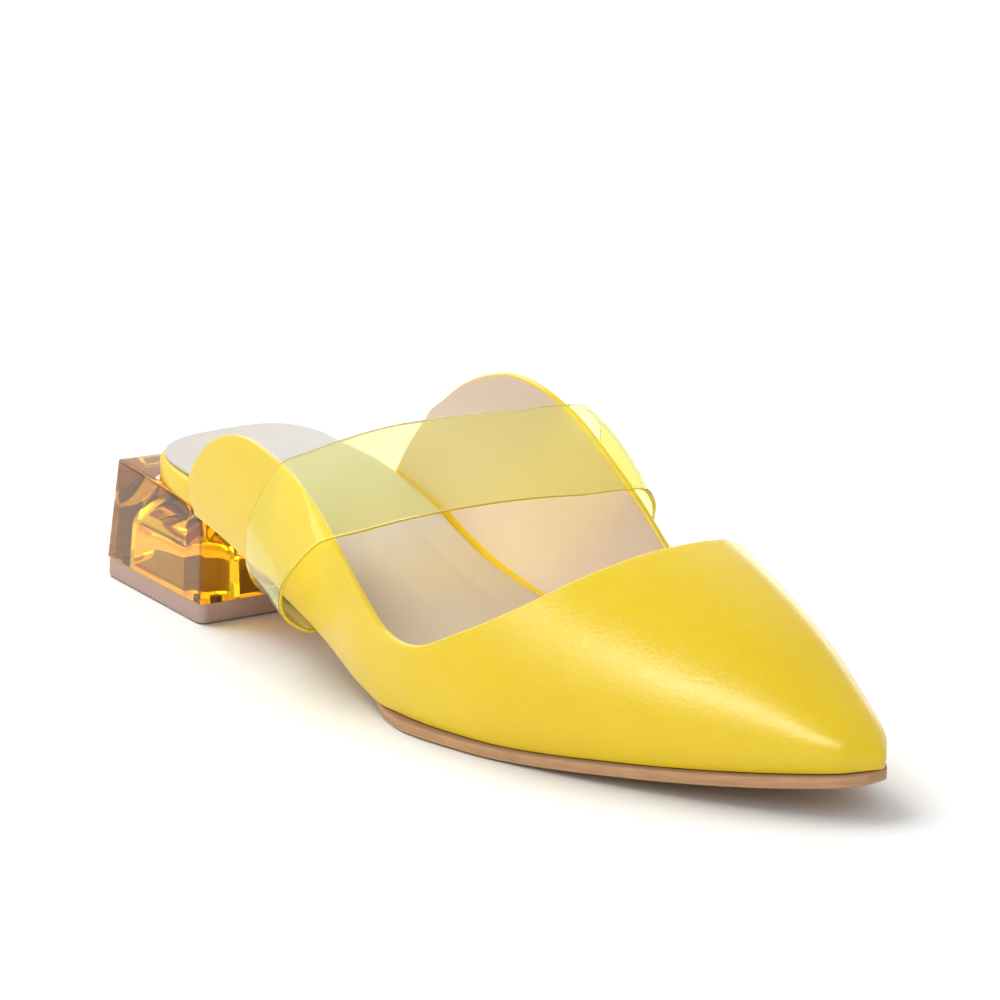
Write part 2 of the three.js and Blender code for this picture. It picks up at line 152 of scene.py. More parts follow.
class Spline:
    """Smooth curve through points in space, even where they lie unevenly."""

    def __init__(self, points: np.ndarray) -> None:
        """Keeps the points with one more beyond each end.

        Args:
            points: rows of x, y, z.
        """
        first = 2 * points[0] - points[1]
        last = 2 * points[-1] - points[-2]
        self.points = np.vstack([first, points, last])

    def at(self, t: np.ndarray) -> np.ndarray:
        """Points at shares t of the curve, counted by its knots.

        Args:
            t: shares from 0 to 1.

        Returns:
            One row of x, y, z for each share.
        """
        spans = len(self.points) - 3
        place = np.clip(np.asarray(t, float), 0, 1) * spans
        i = np.minimum(place.astype(int), spans - 1)
        w = (place - i)[:, None]
        p0, p1, p2, p3 = (self.points[i + k] for k in range(4))
        d0, d1, d2 = (
            np.maximum(np.sqrt(np.linalg.norm(b - a, axis=1)), 1e-6)[:, None]
            for a, b in ((p0, p1), (p1, p2), (p2, p3))
        )
        m1 = d1 * ((p1 - p0) / d0 - (p2 - p0) / (d0 + d1) + (p2 - p1) / d1)
        m2 = d1 * ((p2 - p1) / d1 - (p3 - p1) / (d1 + d2) + (p3 - p2) / d2)
        square = -3 * p1 + 3 * p2 - 2 * m1 - m2
        cube = 2 * p1 - 2 * p2 + m1 + m2
        return p1 + m1 * w + square * w**2 + cube * w**3


SECTIONS = Table(
    ("x", "outer", "inner", "ridge_y", "ridge_z", "outer_up", "outer_out", "inner_up", "inner_out"),
    (
        (40, -33.2, 24.4, -5.0, 100.0, 12.0, 1.2, 26.0, 2.2),
        (60, -34.8, 23.4, -5.0, 100.0, 12.0, 1.4, 27.0, 3.2),
        (80, -36.3, 21.4, -4.5, 100.0, 12.0, 1.5, 29.0, 4.9),
        (95, -37.6, 18.5, -4.2, 99.0, 12.0, 1.5, 30.0, 8.0),
        (105, -38.8, 17.6, -4.0, 98.0, 11.0, 1.5, 30.0, 9.0),
        (118, -41.0, 19.4, -3.0, 95.0, 10.0, 1.5, 28.0, 7.2),
        (130, -43.2, 24.2, -2.0, 90.0, 10.0, 1.5, 24.0, 3.5),
        (144, -45.0, 28.4, -0.5, 79.0, 9.0, 1.3, 17.0, 2.0),
        (152, -45.6, 29.6, 0.0, 72.0, 9.0, 1.2, 14.0, 1.8),
        (170, -43.8, 30.0, 2.0, 60.0, 9.0, 1.2, 11.0, 1.4),
        (190, -38.5, 26.6, 3.8, 50.5, 8.0, 1.2, 10.0, 1.3),
        (210, -31.2, 20.6, 4.0, 42.3, 7.0, 1.2, 8.0, 1.2),
        (230, -22.0, 13.8, 2.9, 32.5, 6.0, 1.2, 7.0, 1.2),
        (244, -13.6, 8.2, 1.5, 23.2, 5.0, 1.2, 5.0, 1.2),
        (251, -8.2, 4.9, 0.6, 17.8, 4.2, 1.1, 4.2, 1.1),
        (255.2, -1.5, 1.2, 0.0, 13.8, 3.0, 0.6, 3.0, 0.6),
    ),
)

PROFILE = Table(
    ("x", "feather", "footbed", "cup", "sole_out"),
    (
        (-8, 32.9, 5.4, 0.0, -3.8),
        (15, 31.7, 5.5, 0.2, -3.8),
        (30, 30.5, 5.7, 0.6, -3.8),
        (45, 28.7, 6.0, 1.4, -3.8),
        (60, 25.9, 6.3, 2.0, -3.8),
        (80, 20.4, 6.6, 2.0, -3.8),
        (95, 16.2, 6.3, 1.3, -3.8),
        (105, 13.2, 5.9, 1.1, -3.8),
        (118, 9.2, 5.2, 0.9, -3.8),
        (130, 5.8, 4.7, 0.4, -2.8),
        (143, 3.3, 4.4, 0.0, 0.4),
        (152, 3.3, 4.3, 0.0, 1.4),
        (177, 3.3, 4.0, 0.0, 1.2),
        (210, 5.1, 3.4, 0.0, 1.2),
        (235, 7.2, 2.9, 0.0, 1.3),
        (256, 9.3, 2.6, 0.0, 0.6),
    ),
)

EDGE_COLUMNS = ("x", "share")

OUTER_EDGE = Table(
    EDGE_COLUMNS,
    (
        (48.3, 0.02), (47.0, 0.09), (48.3, 0.17), (55.0, 0.25), (64.0, 0.306), (74.0, 0.335), (86.0, 0.338),
        (98.0, 0.328), (110.0, 0.312), (124.0, 0.29), (136.0, 0.266), (147.0, 0.252), (156.0, 0.266),
        (165.0, 0.322), (174.0, 0.397), (183.0, 0.515), (191.5, 0.695), (196.8, 0.875), (199.0, 1.0),
    ),
)

INNER_EDGE = Table(
    EDGE_COLUMNS,
    (
        (57.0, 0.02), (61.5, 0.09), (68.0, 0.156), (76.0, 0.228), (84.5, 0.3), (94.0, 0.36), (105.0, 0.413),
        (117.0, 0.452), (129.5, 0.467), (140.0, 0.449), (149.0, 0.404), (157.5, 0.338), (165.0, 0.283),
        (173.0, 0.268), (181.0, 0.325), (189.5, 0.47), (196.0, 0.68), (198.8, 0.87), (199.0, 1.0),
    ),
)

STRAP_ROWS = Table(
    ("rear_x", "rear_y", "rear_z", "front_x", "front_y", "front_z", "bow_y", "bow_z"),
    (
        (86.0, -33.4, 17.9, 106.0, -35.5, 12.05, 0.0, 0.0),
        (86.0, -37.7, 17.7, 106.2, -40.0, 12.2, 0.0, 0.0),
        (86.3, -41.2, 19.6, 106.8, -43.6, 13.9, 0.0, 0.0),
        (87.0, -44.2, 25.0, 108.0, -48.6, 17.8, 0.0, 0.0),
        (88.0, -45.2, 30.5, 109.8, -51.0, 22.6, 0.0, 0.0),
        (88.8, -45.0, 36.0, 112.0, -51.0, 28.0, 0.0, 0.0),
        (89.8, -43.0, 41.5, 114.4, -48.2, 33.2, 0.0, 0.0),
        (91.2, -40.3, 47.0, 116.6, -44.6, 37.0, 0.0, 0.0),
        (93.0, -37.1, 50.9, 118.6, -41.1, 38.3, 0.0, 0.0),
        (95.5, -32.5, 52.6, 120.8, -35.9, 39.2, 0.0, 0.0),
        (100.0, -25.2, 55.6, 124.5, -27.6, 41.0, 0.0, 0.0),
        (105.6, -16.1, 58.4, 129.1, -17.1, 42.7, 0.0, 0.0),
        (111.2, -7.0, 60.0, 133.6, -6.6, 43.8, 0.0, 0.0),
        (116.7, 2.1, 60.9, 138.2, 3.8, 44.4, 0.0, 0.0),
        (122.3, 11.2, 61.4, 142.8, 14.3, 44.4, 0.0, 0.45),
        (127.4, 19.0, 62.5, 147.0, 22.8, 45.0, 0.45, 1.2),
        (130.8, 24.3, 62.35, 149.2, 28.2, 44.7, 0.6, 1.5),
        (132.5, 28.4, 59.2, 148.8, 31.9, 40.8, 1.05, 1.05),
        (131.8, 29.9, 53.5, 146.8, 33.4, 35.0, 0.6, 0.3),
        (128.0, 30.4, 44.0, 143.4, 34.0, 27.0, 0.0, 0.0),
        (121.0, 29.4, 31.0, 136.8, 32.8, 17.4, 0.0, 0.0),
        (113.6, 26.4, 18.6, 130.6, 30.2, 9.8, 0.0, 0.0),
        (108.8, 21.9, 11.9, 127.0, 25.6, 6.2, 0.0, 0.0),
        (107.4, 18.2, 11.5, 126.2, 22.6, 6.0, 0.0, 0.0),
        (107.2, 14.4, 11.7, 125.8, 19.8, 6.15, 0.0, 0.0),
    ),
)

# Soft troughs and ridges of the upper: where each starts and ends, its half width and height in millimetres
UPPER_FOLDS = Table(
    ("side", "x0", "share0", "x1", "share1", "width", "height"),
    (
        (-1, 150.0, 0.06, 163.0, 0.27, 9.0, -0.45),
        (-1, 134.0, 0.05, 128.0, 0.25, 8.0, 0.25),
        (-1, 112.0, 0.04, 108.0, 0.26, 9.0, -0.30),
        (1, 171.0, 0.05, 168.0, 0.24, 8.0, -0.40),
        (1, 128.0, 0.05, 134.0, 0.40, 10.0, -0.35),
        (-1, 186.0, 0.12, 214.0, 0.30, 12.0, 0.30),
    ),
)


@dataclass
class Last:
    """Form of the last: cross sections, side profile and the plan of the footbed, in millimetres."""

    low_share: float = 0.18
    wall: float = 1.8
    side_gap: float = 0.45
    seat_centre_x: float = 40.0
    seat_back_x: float = 6.8
    seat_drift: float = 0.15
    seat_power: float = 2.8
    section: dict[str, Column] = field(default_factory=dict)
    profile: dict[str, Column] = field(default_factory=dict)

    def __post_init__(self) -> None:
        """Makes a smooth curve of each column of the tables."""
        self.section = {name: SECTIONS.curve(name) for name in SECTIONS.columns[1:]}
        self.profile = {name: PROFILE.curve(name) for name in PROFILE.columns[1:]}

    def feather(self, x: np.ndarray | float) -> np.ndarray:
        """Height of the feather edge at x."""
        return self.profile["feather"](x)

    def wall_point(self, x: np.ndarray, side: Side, share: np.ndarray) -> np.ndarray:
        """Points on the outside of the upper.

        Args:
            x: places along the shoe.
            side: side of the shoe.
            share: share of the girth, 0 at the feather edge and 1 at the ridge.

        Returns:
            Points, with x, y, z on the last axis.
        """
        x, share = np.broadcast_arrays(np.asarray(x, float), np.asarray(share, float))
        key = side.name.lower()
        foot, ridge_y = self.feather(x), self.section["ridge_y"](x)
        up, out = self.section[key + "_up"](x), self.section[key + "_out"](x)
        reach = np.abs(self.section[key](x) - ridge_y) + out
        tuck = 1 - share / self.low_share
        turn = np.clip((share - self.low_share) / (1 - self.low_share), 0, 1) * math.pi / 2
        low = share < self.low_share
        across = np.where(low, reach - out * tuck**2, reach * np.cos(turn))
        rise = self.section["ridge_z"](x) - foot - up
        height = np.where(low, up * (1 - tuck), up + rise * np.sin(turn))
        return np.stack([x, ridge_y + side.value * across, foot + height], axis=-1)

    def feather_inset(self, x: np.ndarray, side: Side, inset: np.ndarray | float) -> np.ndarray:
        """Plan line that runs beside the feather edge.

        Args:
            x: places along the shoe.
            side: side of the shoe.
            inset: how far in the line lies.

        Returns:
            The line's y at each place.
        """
        edge = self.section[side.name.lower()]
        slope = edge(np.asarray(x) + 0.5) - edge(np.asarray(x) - 0.5)
        return edge(x) - side.value * inset * np.hypot(1, slope)

    def insole_edge(self, x: np.ndarray, side: Side) -> np.ndarray:
        """Plan edge of the footbed: round seat at the heel, then just inside the upper's wall.

        Args:
            x: places along the shoe.
            side: side of the shoe.

        Returns:
            The edge's y at each place.
        """
        x = np.asarray(x, float)
        inset = self.wall + self.side_gap
        at = np.maximum(x, self.seat_centre_x)
        outer, inner = (self.feather_inset(at, s, inset) for s in (Side.OUTER, Side.INNER))
        behind = np.maximum(self.seat_centre_x - x, 0)
        back = behind / (self.seat_centre_x - self.seat_back_x)
        shrink = np.maximum(0, 1 - back**self.seat_power) ** (1 / self.seat_power)
        middle = (outer + inner) / 2 + self.seat_drift * behind
        return middle + side.value * (inner - outer) / 2 * shrink

    def cup(self, x: np.ndarray, y: np.ndarray) -> np.ndarray:
        """Rise of the footbed towards its inner margin.

        Args:
            x: places along the shoe.
            y: places across it.

        Returns:
            The rise at each place.
        """
        outer, inner = (self.insole_edge(x, s) for s in (Side.OUTER, Side.INNER))
        middle = (outer + inner) / 2
        share = np.clip((y - middle) / np.maximum(inner - middle, 1e-6), 0, 1)
        return self.profile["cup"](x) * share**2

    def footbed_top(self, x: np.ndarray, y: np.ndarray) -> np.ndarray:
        """Height of the footbed's top."""
        return self.feather(x) + self.profile["footbed"](x) + self.cup(x, y)


class Draft:
    """Points, faces and attributes of one piece, gathered in the maker's drawing in millimetres."""

    def __init__(self) -> None:
        """Starts with no points."""
        self.chunks: list[np.ndarray] = []
        self.marks: dict[str, list[np.ndarray]] = {}
        self.faces: list[list[int]] = []
        self.slots: list[int] = []
        self.count = 0

    def add(self, points: np.ndarray, **marks: np.ndarray | float) -> np.ndarray:
        """Adds a grid of points.

        Args:
            points: points with x, y, z on the last axis.
            marks: value of each named attribute at the points.

        Returns:
            The points' numbers, in the grid's shape.
        """
        flat = points.reshape(-1, 3)
        for name, value in marks.items():
            before = self.marks.setdefault(name, [np.zeros(self.count)])
            before.append(np.broadcast_to(np.asarray(value, float), points.shape[:-1]).reshape(-1))
        for name, before in self.marks.items():
            if name not in marks:
                before.append(np.zeros(len(flat)))
        ids = np.arange(self.count, self.count + len(flat)).reshape(points.shape[:-1])
        self.chunks.append(flat)
        self.count += len(flat)
        return ids

    def quads(self, ids: np.ndarray, slot: int = 0, flip: bool = False, closed: bool = False) -> None:
        """Adds the faces between neighbouring rows and columns of a grid of point numbers.

        Args:
            ids: grid of point numbers.
            slot: material slot of the faces.
            flip: turns the faces over.
            closed: joins each row's end to its start.
        """
        if closed:
            ids = np.concatenate([ids, ids[:, :1]], axis=1)
        a, b, c, d = ids[:-1, :-1], ids[1:, :-1], ids[1:, 1:], ids[:-1, 1:]
        order = (a, d, c, b) if flip else (a, b, c, d)
        cells = np.stack([grid.reshape(-1) for grid in order], axis=1)
        self.faces.extend(cells.tolist())
        self.slots.extend([slot] * len(cells))

    def welded(self) -> tuple[np.ndarray, list[list[int]], list[int], dict[str, np.ndarray]]:
        """Joins points that share a place and drops faces that vanish.

        Returns:
            Points, faces, their material slots, and the attributes of the points.
        """
        points = np.concatenate(self.chunks)
        keys = np.floor(points * WELD_CELLS + WELD_SHIFT).astype(np.int64)
        _, first, back = np.unique(keys, axis=0, return_index=True, return_inverse=True)
        back = back.reshape(-1)
        faces, slots = [], []
        for corners, slot in zip(self.faces, self.slots):
            loop: list[int] = []
            for corner in (int(back[c]) for c in corners):
                if corner not in loop:
                    loop.append(corner)
            if len(loop) > 2:
                faces.append(loop)
                slots.append(slot)
        marks = {name: np.concatenate(parts)[first] for name, parts in self.marks.items()}
        return points[first], faces, slots, marks

    def piece(
        self, name: str, materials: Sequence[bpy.types.Material], sharp: float = 40.0
    ) -> bpy.types.Object:
        """Makes the piece as an object in the frame.

        Args:
            name: the piece's name.
            materials: one material for each slot.
            sharp: angle between faces, in degrees, over which an edge stays crisp.

        Returns:
            The new object, linked to the scene.
        """
        points, faces, slots, marks = self.welded()
        mesh = bpy.data.meshes.new(name)
        mesh.from_pydata(((points - ORIGIN) * MM).tolist(), [], faces)
        for material in materials:
            mesh.materials.append(material)
        mesh.polygons.foreach_set("material_index", slots)
        mesh.polygons.foreach_set("use_smooth", [True] * len(faces))
        for mark, values in marks.items():
            layer = mesh.attributes.new(mark, "FLOAT", "POINT")
            layer.data.foreach_set("value", values.astype(np.float32))
        mesh.update()
        mesh.validate()
        mesh.set_sharp_from_angle(angle=math.radians(sharp))
        made = bpy.data.objects.new(name, mesh)
        bpy.context.scene.collection.objects.link(made)
        return made


def point_normals(points: np.ndarray, faces: Sequence[Sequence[int]]) -> np.ndarray:
    """Mean normal of the faces round each point.

    Args:
        points: rows of x, y, z.
        faces: point numbers of each face, three or four.

    Returns:
        One unit normal for each point.
    """
    quads = np.array([list(f) + [f[-1]] * (4 - len(f)) for f in faces])
    one = points[quads[:, 2]] - points[quads[:, 0]]
    two = points[quads[:, 3]] - points[quads[:, 1]]
    flat = np.cross(one, two)
    total = np.zeros_like(points)
    for corner in range(4):
        np.add.at(total, quads[:, corner], flat)
    return total / np.maximum(np.linalg.norm(total, axis=1, keepdims=True), 1e-12)


@dataclass(frozen=True)
class Layer:
    """One ring of a flat piece: how far in from its plan edge, and its height there."""

    inset: float
    height: Callable[[np.ndarray, np.ndarray], np.ndarray]
    level: float = 0.0


class PlanPiece:
    """Flat piece whose plan edge is carried through layers, closed above and below."""

    def __init__(
        self, outer: np.ndarray, inner: np.ndarray, layers: Sequence[Layer], across: int = 1
    ) -> None:
        """Keeps the plan and works out the inward direction at each point of it.

        Args:
            outer: plan edge of the outer side, heel to toe.
            inner: plan edge of the inner side, heel to toe.
            layers: rings from the lowest to the highest.
            across: faces across the top and bottom.
        """
        self.layers, self.across, self.last = layers, across, len(outer) - 1
        steps = np.arange(1, across)[:, None] / across
        front = outer[-1] + (inner[-1] - outer[-1]) * steps
        rear = inner[0] + (outer[0] - inner[0]) * steps
        self.outline = np.concatenate([outer, front, inner[::-1], rear])
        ahead = np.roll(self.outline, -1, axis=0) - self.outline
        ahead /= np.maximum(np.linalg.norm(ahead, axis=1, keepdims=True), 1e-9)
        way = ahead + np.roll(ahead, 1, axis=0)
        way /= np.maximum(np.linalg.norm(way, axis=1, keepdims=True), 1e-9)
        self.inward = np.stack([-way[:, 1], way[:, 0]], axis=1)

    def ring(self, layer: Layer) -> np.ndarray:
        """Plan of one layer."""
        return self.outline + self.inward * layer.inset

    def cap(self, plan: np.ndarray) -> np.ndarray:
        """Grid of plan points between the two sides of a ring.

        Args:
            plan: the ring's plan.

        Returns:
            Grid with a row for each step from heel to toe.
        """
        last, across, count = self.last, self.across, len(plan)
        outer = plan[: last + 1]
        inner = plan[2 * last + across - np.arange(last + 1)]
        share = np.linspace(0, 1, across + 1)[None, :, None]
        grid = outer[:, None] + (inner - outer)[:, None] * share
        if across > 1:
            grid[0, 1:-1] = plan[count - across + 1 :][::-1]
            grid[-1, 1:-1] = plan[last + 1 : last + across]
        return grid

    def draft(self, top_slot: int = 0) -> Draft:
        """Makes the closed piece.

        Args:
            top_slot: material slot of the top.

        Returns:
            The piece's points and faces, marked with the way round and the level.
        """
        made = Draft()
        gaps = np.linalg.norm(np.diff(self.outline, axis=0, append=self.outline[:1]), axis=1)
        along = np.concatenate([[0], np.cumsum(gaps)[:-1]]) * MM
        rings = []
        for layer in self.layers:
            plan = self.ring(layer)
            points = np.column_stack([plan, layer.height(plan[:, 0], plan[:, 1])])
            rings.append(made.add(points, along=along, level=layer.level))
        made.quads(np.array(rings), flip=True, closed=True)
        for layer, slot, flip in ((self.layers[0], 0, True), (self.layers[-1], top_slot, False)):
            grid = self.cap(self.ring(layer))
            height = layer.height(grid[..., 0], grid[..., 1])
            ids = made.add(np.concatenate([grid, height[..., None]], axis=-1), level=layer.level)
            made.quads(ids, slot, flip=flip)
        return made


def spacing(start: np.ndarray | float, end: float, steps: int) -> np.ndarray:
    """Places from start to end, close together at both ends."""
    return start + (end - start) * (1 - np.cos(np.linspace(0, math.pi, steps + 1))) / 2


class Sketch:
    """Short way to add and join the nodes of one tree, and the steps that many trees share."""

    def __init__(self, tree: bpy.types.NodeTree) -> None:
        """Keeps the tree."""
        self.tree = tree

    def add(
        self, kind: str, sockets: dict[str | int, object] | None = None, **settings: object
    ) -> bpy.types.Node:
        """Adds a node.

        Args:
            kind: the node's type.
            sockets: input values by name or number; an output socket there is joined.
            settings: properties of the node.

        Returns:
            The new node.
        """
        node = self.tree.nodes.new(kind)
        for name, value in settings.items():
            setattr(node, name, value)
        for key, value in (sockets or {}).items():
            if isinstance(value, bpy.types.NodeSocket):
                self.tree.links.new(value, node.inputs[key])
            else:
                node.inputs[key].default_value = value
        return node

    def math(self, operation: str, one: object, two: object = 0.0) -> bpy.types.NodeSocket:
        """Result of a sum on one or two values or sockets."""
        return self.add("ShaderNodeMath", {0: one, 1: two}, operation=operation).outputs[0]

    def blend(self, share: object, one: object, two: object, way: str = "MIX") -> bpy.types.NodeSocket:
        """Colour mixed from two colours or sockets by share."""
        node = self.add("ShaderNodeMix", {0: share, 6: one, 7: two}, data_type="RGBA", blend_type=way)
        return node.outputs[2]

    def span(
        self, value: object, low: float, high: float, to_low: float, to_high: float
    ) -> bpy.types.NodeSocket:
        """Value carried from one range to another, held at the ends."""
        sockets = {"Value": value, "From Min": low, "From Max": high, "To Min": to_low, "To Max": to_high}
        return self.add("ShaderNodeMapRange", sockets).outputs[0]

    def vector(self, operation: str, sockets: dict[str | int, object]) -> bpy.types.Node:
        """Node of a sum on vectors."""
        return self.add("ShaderNodeVectorMath", sockets, operation=operation)

    def noise(self, place: object, scale: object, detail: float) -> bpy.types.Node:
        """Node of a soft noise at a place."""
        return self.add("ShaderNodeTexNoise", {"Vector": place, "Scale": scale, "Detail": detail})

    def place(self) -> bpy.types.NodeSocket:
        """Place on the piece, in metres."""
        return self.add("ShaderNodeTexCoord").outputs["Object"]

    def mark(self, name: str) -> bpy.types.NodeSocket:
        """Value of one of the piece's own attributes."""
        return self.add("ShaderNodeAttribute", attribute_name=name).outputs["Fac"]

    def feed(self, value: bpy.types.NodeSocket, socket: bpy.types.NodeSocket) -> None:
        """Joins a value to a socket."""
        self.tree.links.new(value, socket)

    def relief(
        self, height: bpy.types.NodeSocket, strength: float, deep: float, shader: bpy.types.Node
    ) -> None:
        """Bumps a shader's surface by a height.

        Args:
            height: the height, from 0 to 1.
            strength: share of the bump that shows.
            deep: real depth of the bump, in metres.
            shader: the shader that gets it.
        """
        bump = self.add("ShaderNodeBump", {"Height": height, "Strength": strength, "Distance": deep})
        self.feed(bump.outputs[0], shader.inputs["Normal"])

    def let_light_through(self, shader: bpy.types.Node, colour: str, end: bpy.types.Node) -> None:
        """Makes a clear surface let lamps' light straight through, tinted.

        Args:
            shader: shader that every other ray meets.
            colour: tint of the light.
            end: the material's output.
        """
        clear = self.add("ShaderNodeBsdfTransparent", {"Color": tone(colour)})
        rays = self.add("ShaderNodeLightPath").outputs["Is Shadow Ray"]
        both = self.add("ShaderNodeMixShader", {0: rays, 1: shader.outputs[0], 2: clear.outputs[0]})
        self.feed(both.outputs[0], end.inputs["Surface"])


def shader_group(name: str, inputs: dict[str, float], outputs: Sequence[str]) -> bpy.types.NodeTree:
    """Starts a shader node group with float sockets.

    Args:
        name: the group's name.
        inputs: named inputs with their values.
        outputs: named outputs.

    Returns:
        The new group, with nothing inside but its ends.
    """
    tree = bpy.data.node_groups.new(name, "ShaderNodeTree")
    for label, value in inputs.items():
        socket = tree.interface.new_socket(label, in_out="INPUT", socket_type="NodeSocketFloat")
        socket.default_value = value
    for label in outputs:
        tree.interface.new_socket(label, in_out="OUTPUT", socket_type="NodeSocketFloat")
    return tree


class Effects:
    """Shader node groups that more than one finish uses."""

    def __init__(self) -> None:
        """Builds each group once."""
        self.grain = self.build_grain()
        self.mottle = self.build_mottle()

    @staticmethod
    def build_grain() -> bpy.types.NodeTree:
        """Pebbled grain of leather: cells with fine pores between them.

        Returns:
            Group with a Height from 0 to 1 and a Pore mask.
        """
        tree = shader_group("leather_grain", {"Cells": 1100.0, "Pores": 2600.0}, ("Height", "Pore"))
        sketch = Sketch(tree)
        ends = sketch.add("NodeGroupInput")
        place = sketch.place()
        bend = sketch.noise(place, 420.0, 2.0)
        shift = sketch.vector("SUBTRACT", {0: bend.outputs["Color"], 1: (0.5, 0.5, 0.5)})
        small = sketch.vector("SCALE", {0: shift.outputs[0], "Scale": 0.0009})
        bent = sketch.vector("ADD", {0: place, 1: small.outputs[0]}).outputs[0]
        spots = {"Vector": bent, "Scale": ends.outputs["Cells"]}
        cells = sketch.add("ShaderNodeTexVoronoi", spots, feature="SMOOTH_F1")
        pores = sketch.noise(bent, ends.outputs["Pores"], 1.0)
        pebble = sketch.span(cells.outputs["Distance"], 0.0, 0.7, 1.0, 0.0)
        fine = sketch.math("MULTIPLY", pores.outputs["Fac"], 0.25)
        height = sketch.math("ADD", sketch.math("MULTIPLY", pebble, 0.6), fine)
        pore = sketch.span(pores.outputs["Fac"], 0.34, 0.44, 1.0, 0.0)
        sketch.add("NodeGroupOutput", {"Height": height, "Pore": pore})
        return tree

    @staticmethod
    def build_mottle() -> bpy.types.NodeTree:
        """Slow unevenness of a dyed or cast surface.

        Returns:
            Group with a Broad and a Fine value from 0 to 1.
        """
        tree = shader_group("surface_mottle", {"Broad Scale": 22.0, "Fine Scale": 240.0}, ("Broad", "Fine"))
        sketch = Sketch(tree)
        ends = sketch.add("NodeGroupInput")
        place = sketch.place()
        broad = sketch.noise(place, ends.outputs["Broad Scale"], 2.0)
        fine = sketch.noise(place, ends.outputs["Fine Scale"], 4.0)
        sketch.add("NodeGroupOutput", {
            "Broad": sketch.span(broad.outputs["Fac"], 0.3, 0.7, 0.0, 1.0),
            "Fine": sketch.span(fine.outputs["Fac"], 0.3, 0.7, 0.0, 1.0),
        })
        return tree


class Finish:
    """Common steps of every finish."""

    @staticmethod
    def start(name: str) -> tuple[bpy.types.Material, Sketch, bpy.types.Node, bpy.types.Node]:
        """Starts a material.

        Args:
            name: the material's name.

        Returns:
            The material, its sketch, its main shader and its output node.
        """
        material = bpy.data.materials.new(name)
        material.use_nodes = True
        material.node_tree.nodes.clear()
        sketch = Sketch(material.node_tree)
        end = sketch.add("ShaderNodeOutputMaterial")
        shader = sketch.add("ShaderNodeBsdfPrincipled")
        sketch.feed(shader.outputs[0], end.inputs["Surface"])
        return material, sketch, shader, end


@dataclass(frozen=True)
class LeatherFinish(Finish):
    """Dyed leather with a fine grain; places and depths are in metres.

    Worn colour shows in fine specks and on a marked edge. A band of another colour lies low on a lining.
    Towards the toe a sock turns to its fore colour, partly its own warmer tone and partly painted shade and
    bounce light; beside its outer margin lies a painted shadow of the outer wall.
    """

    name: str
    light: str
    deep: str
    worn: str
    cells: float = 1100.0
    pores: float = 2600.0
    grain: float = 0.10
    grain_deep: float = 0.0004
    roughness: float = 0.40
    gloss_spread: float = 0.08
    speck_share: float = 0.16
    pore_share: float = 0.02
    sheen: float = 0.0
    sheen_roughness: float = 0.4
    edge_mark: str = ""
    edge_worn: float = 0.55
    band_mark: str = ""
    band_high: float = -0.0014
    band_soft: float = 0.0002
    band: str = ""
    # fore colour: partly the sock's own warmer tone, partly painted shade and yellow bounce light
    fore: str = ""
    fore_from: float = -0.075
    fore_to: float = -0.02
    # shade: painted shadow of the outer wall on the sock, with its span across from the outer margin and its
    # span along
    shade: str = ""
    wall_shadow_from: float = -0.002
    wall_shadow_to: float = -0.026
    wall_shadow_rear: float = -0.055
    wall_shadow_front: float = 0.012

    def material(self, effects: Effects) -> bpy.types.Material:
        """Builds the material.

        Args:
            effects: shared node groups.

        Returns:
            The leather.
        """
        material, sketch, shader, _ = self.start(self.name)
        grain = sketch.add("ShaderNodeGroup", node_tree=effects.grain)
        grain.inputs["Cells"].default_value = self.cells
        grain.inputs["Pores"].default_value = self.pores
        mottle = sketch.add("ShaderNodeGroup", node_tree=effects.mottle)
        mixed = sketch.blend(mottle.outputs["Broad"], tone(self.light), tone(self.deep))
        specks = sketch.math("MULTIPLY", mottle.outputs["Fine"], self.speck_share)
        mixed = sketch.blend(specks, mixed, tone(self.worn))
        pore = sketch.math("MULTIPLY", grain.outputs["Pore"], self.pore_share)
        mixed = sketch.blend(pore, mixed, tone(self.deep), "MULTIPLY")
        if self.edge_mark:
            edge = sketch.math("MULTIPLY", sketch.mark(self.edge_mark), self.edge_worn)
            mixed = sketch.blend(edge, mixed, tone(self.worn))
        if self.fore:
            mixed = self.turn_forward(sketch, mixed)
        if self.band_mark:
            above = sketch.mark(self.band_mark)
            share = sketch.span(above, self.band_high, self.band_high + self.band_soft, 1.0, 0.0)
            mixed = sketch.blend(share, mixed, tone(self.band))
        sketch.feed(mixed, shader.inputs["Base Color"])
        spread = sketch.math("MULTIPLY", mottle.outputs["Fine"], self.gloss_spread)
        rough = sketch.math("ADD", spread, self.roughness - self.gloss_spread / 2)
        sketch.feed(rough, shader.inputs["Roughness"])
        sketch.relief(grain.outputs["Height"], self.grain, self.grain_deep, shader)
        shader.inputs["Sheen Weight"].default_value = self.sheen
        shader.inputs["Sheen Roughness"].default_value = self.sheen_roughness
        return material

    def turn_forward(self, sketch: Sketch, mixed: bpy.types.NodeSocket) -> bpy.types.NodeSocket:
        """Turns a sock to its fore colour towards the toe, partly painted shade and bounce light, and lays a
        painted shadow of the outer wall beside its outer margin.

        Args:
            sketch: the material's sketch.
            mixed: the colour so far.

        Returns:
            The new colour.
        """
        place = sketch.add("ShaderNodeSeparateXYZ", {0: sketch.place()}).outputs
        # fore colour towards the toe, partly painted shade and bounce light
        along = sketch.span(place["X"], self.fore_from, self.fore_to, 0.0, 1.0)
        mixed = sketch.blend(along, mixed, tone(self.fore))
        # painted shadow of the outer wall: strongest midway along, fading away from the outer margin
        middle = (self.wall_shadow_rear + self.wall_shadow_front) / 2
        rear = sketch.span(place["X"], self.wall_shadow_rear, middle, 0.0, 1.0)
        front = sketch.span(place["X"], middle, self.wall_shadow_front, 1.0, 0.0)
        side = sketch.span(place["Y"], self.wall_shadow_to, self.wall_shadow_from, 1.0, 0.0)
        share = sketch.math("MULTIPLY", side, sketch.math("MULTIPLY", rear, front))
        return sketch.blend(share, mixed, tone(self.shade))


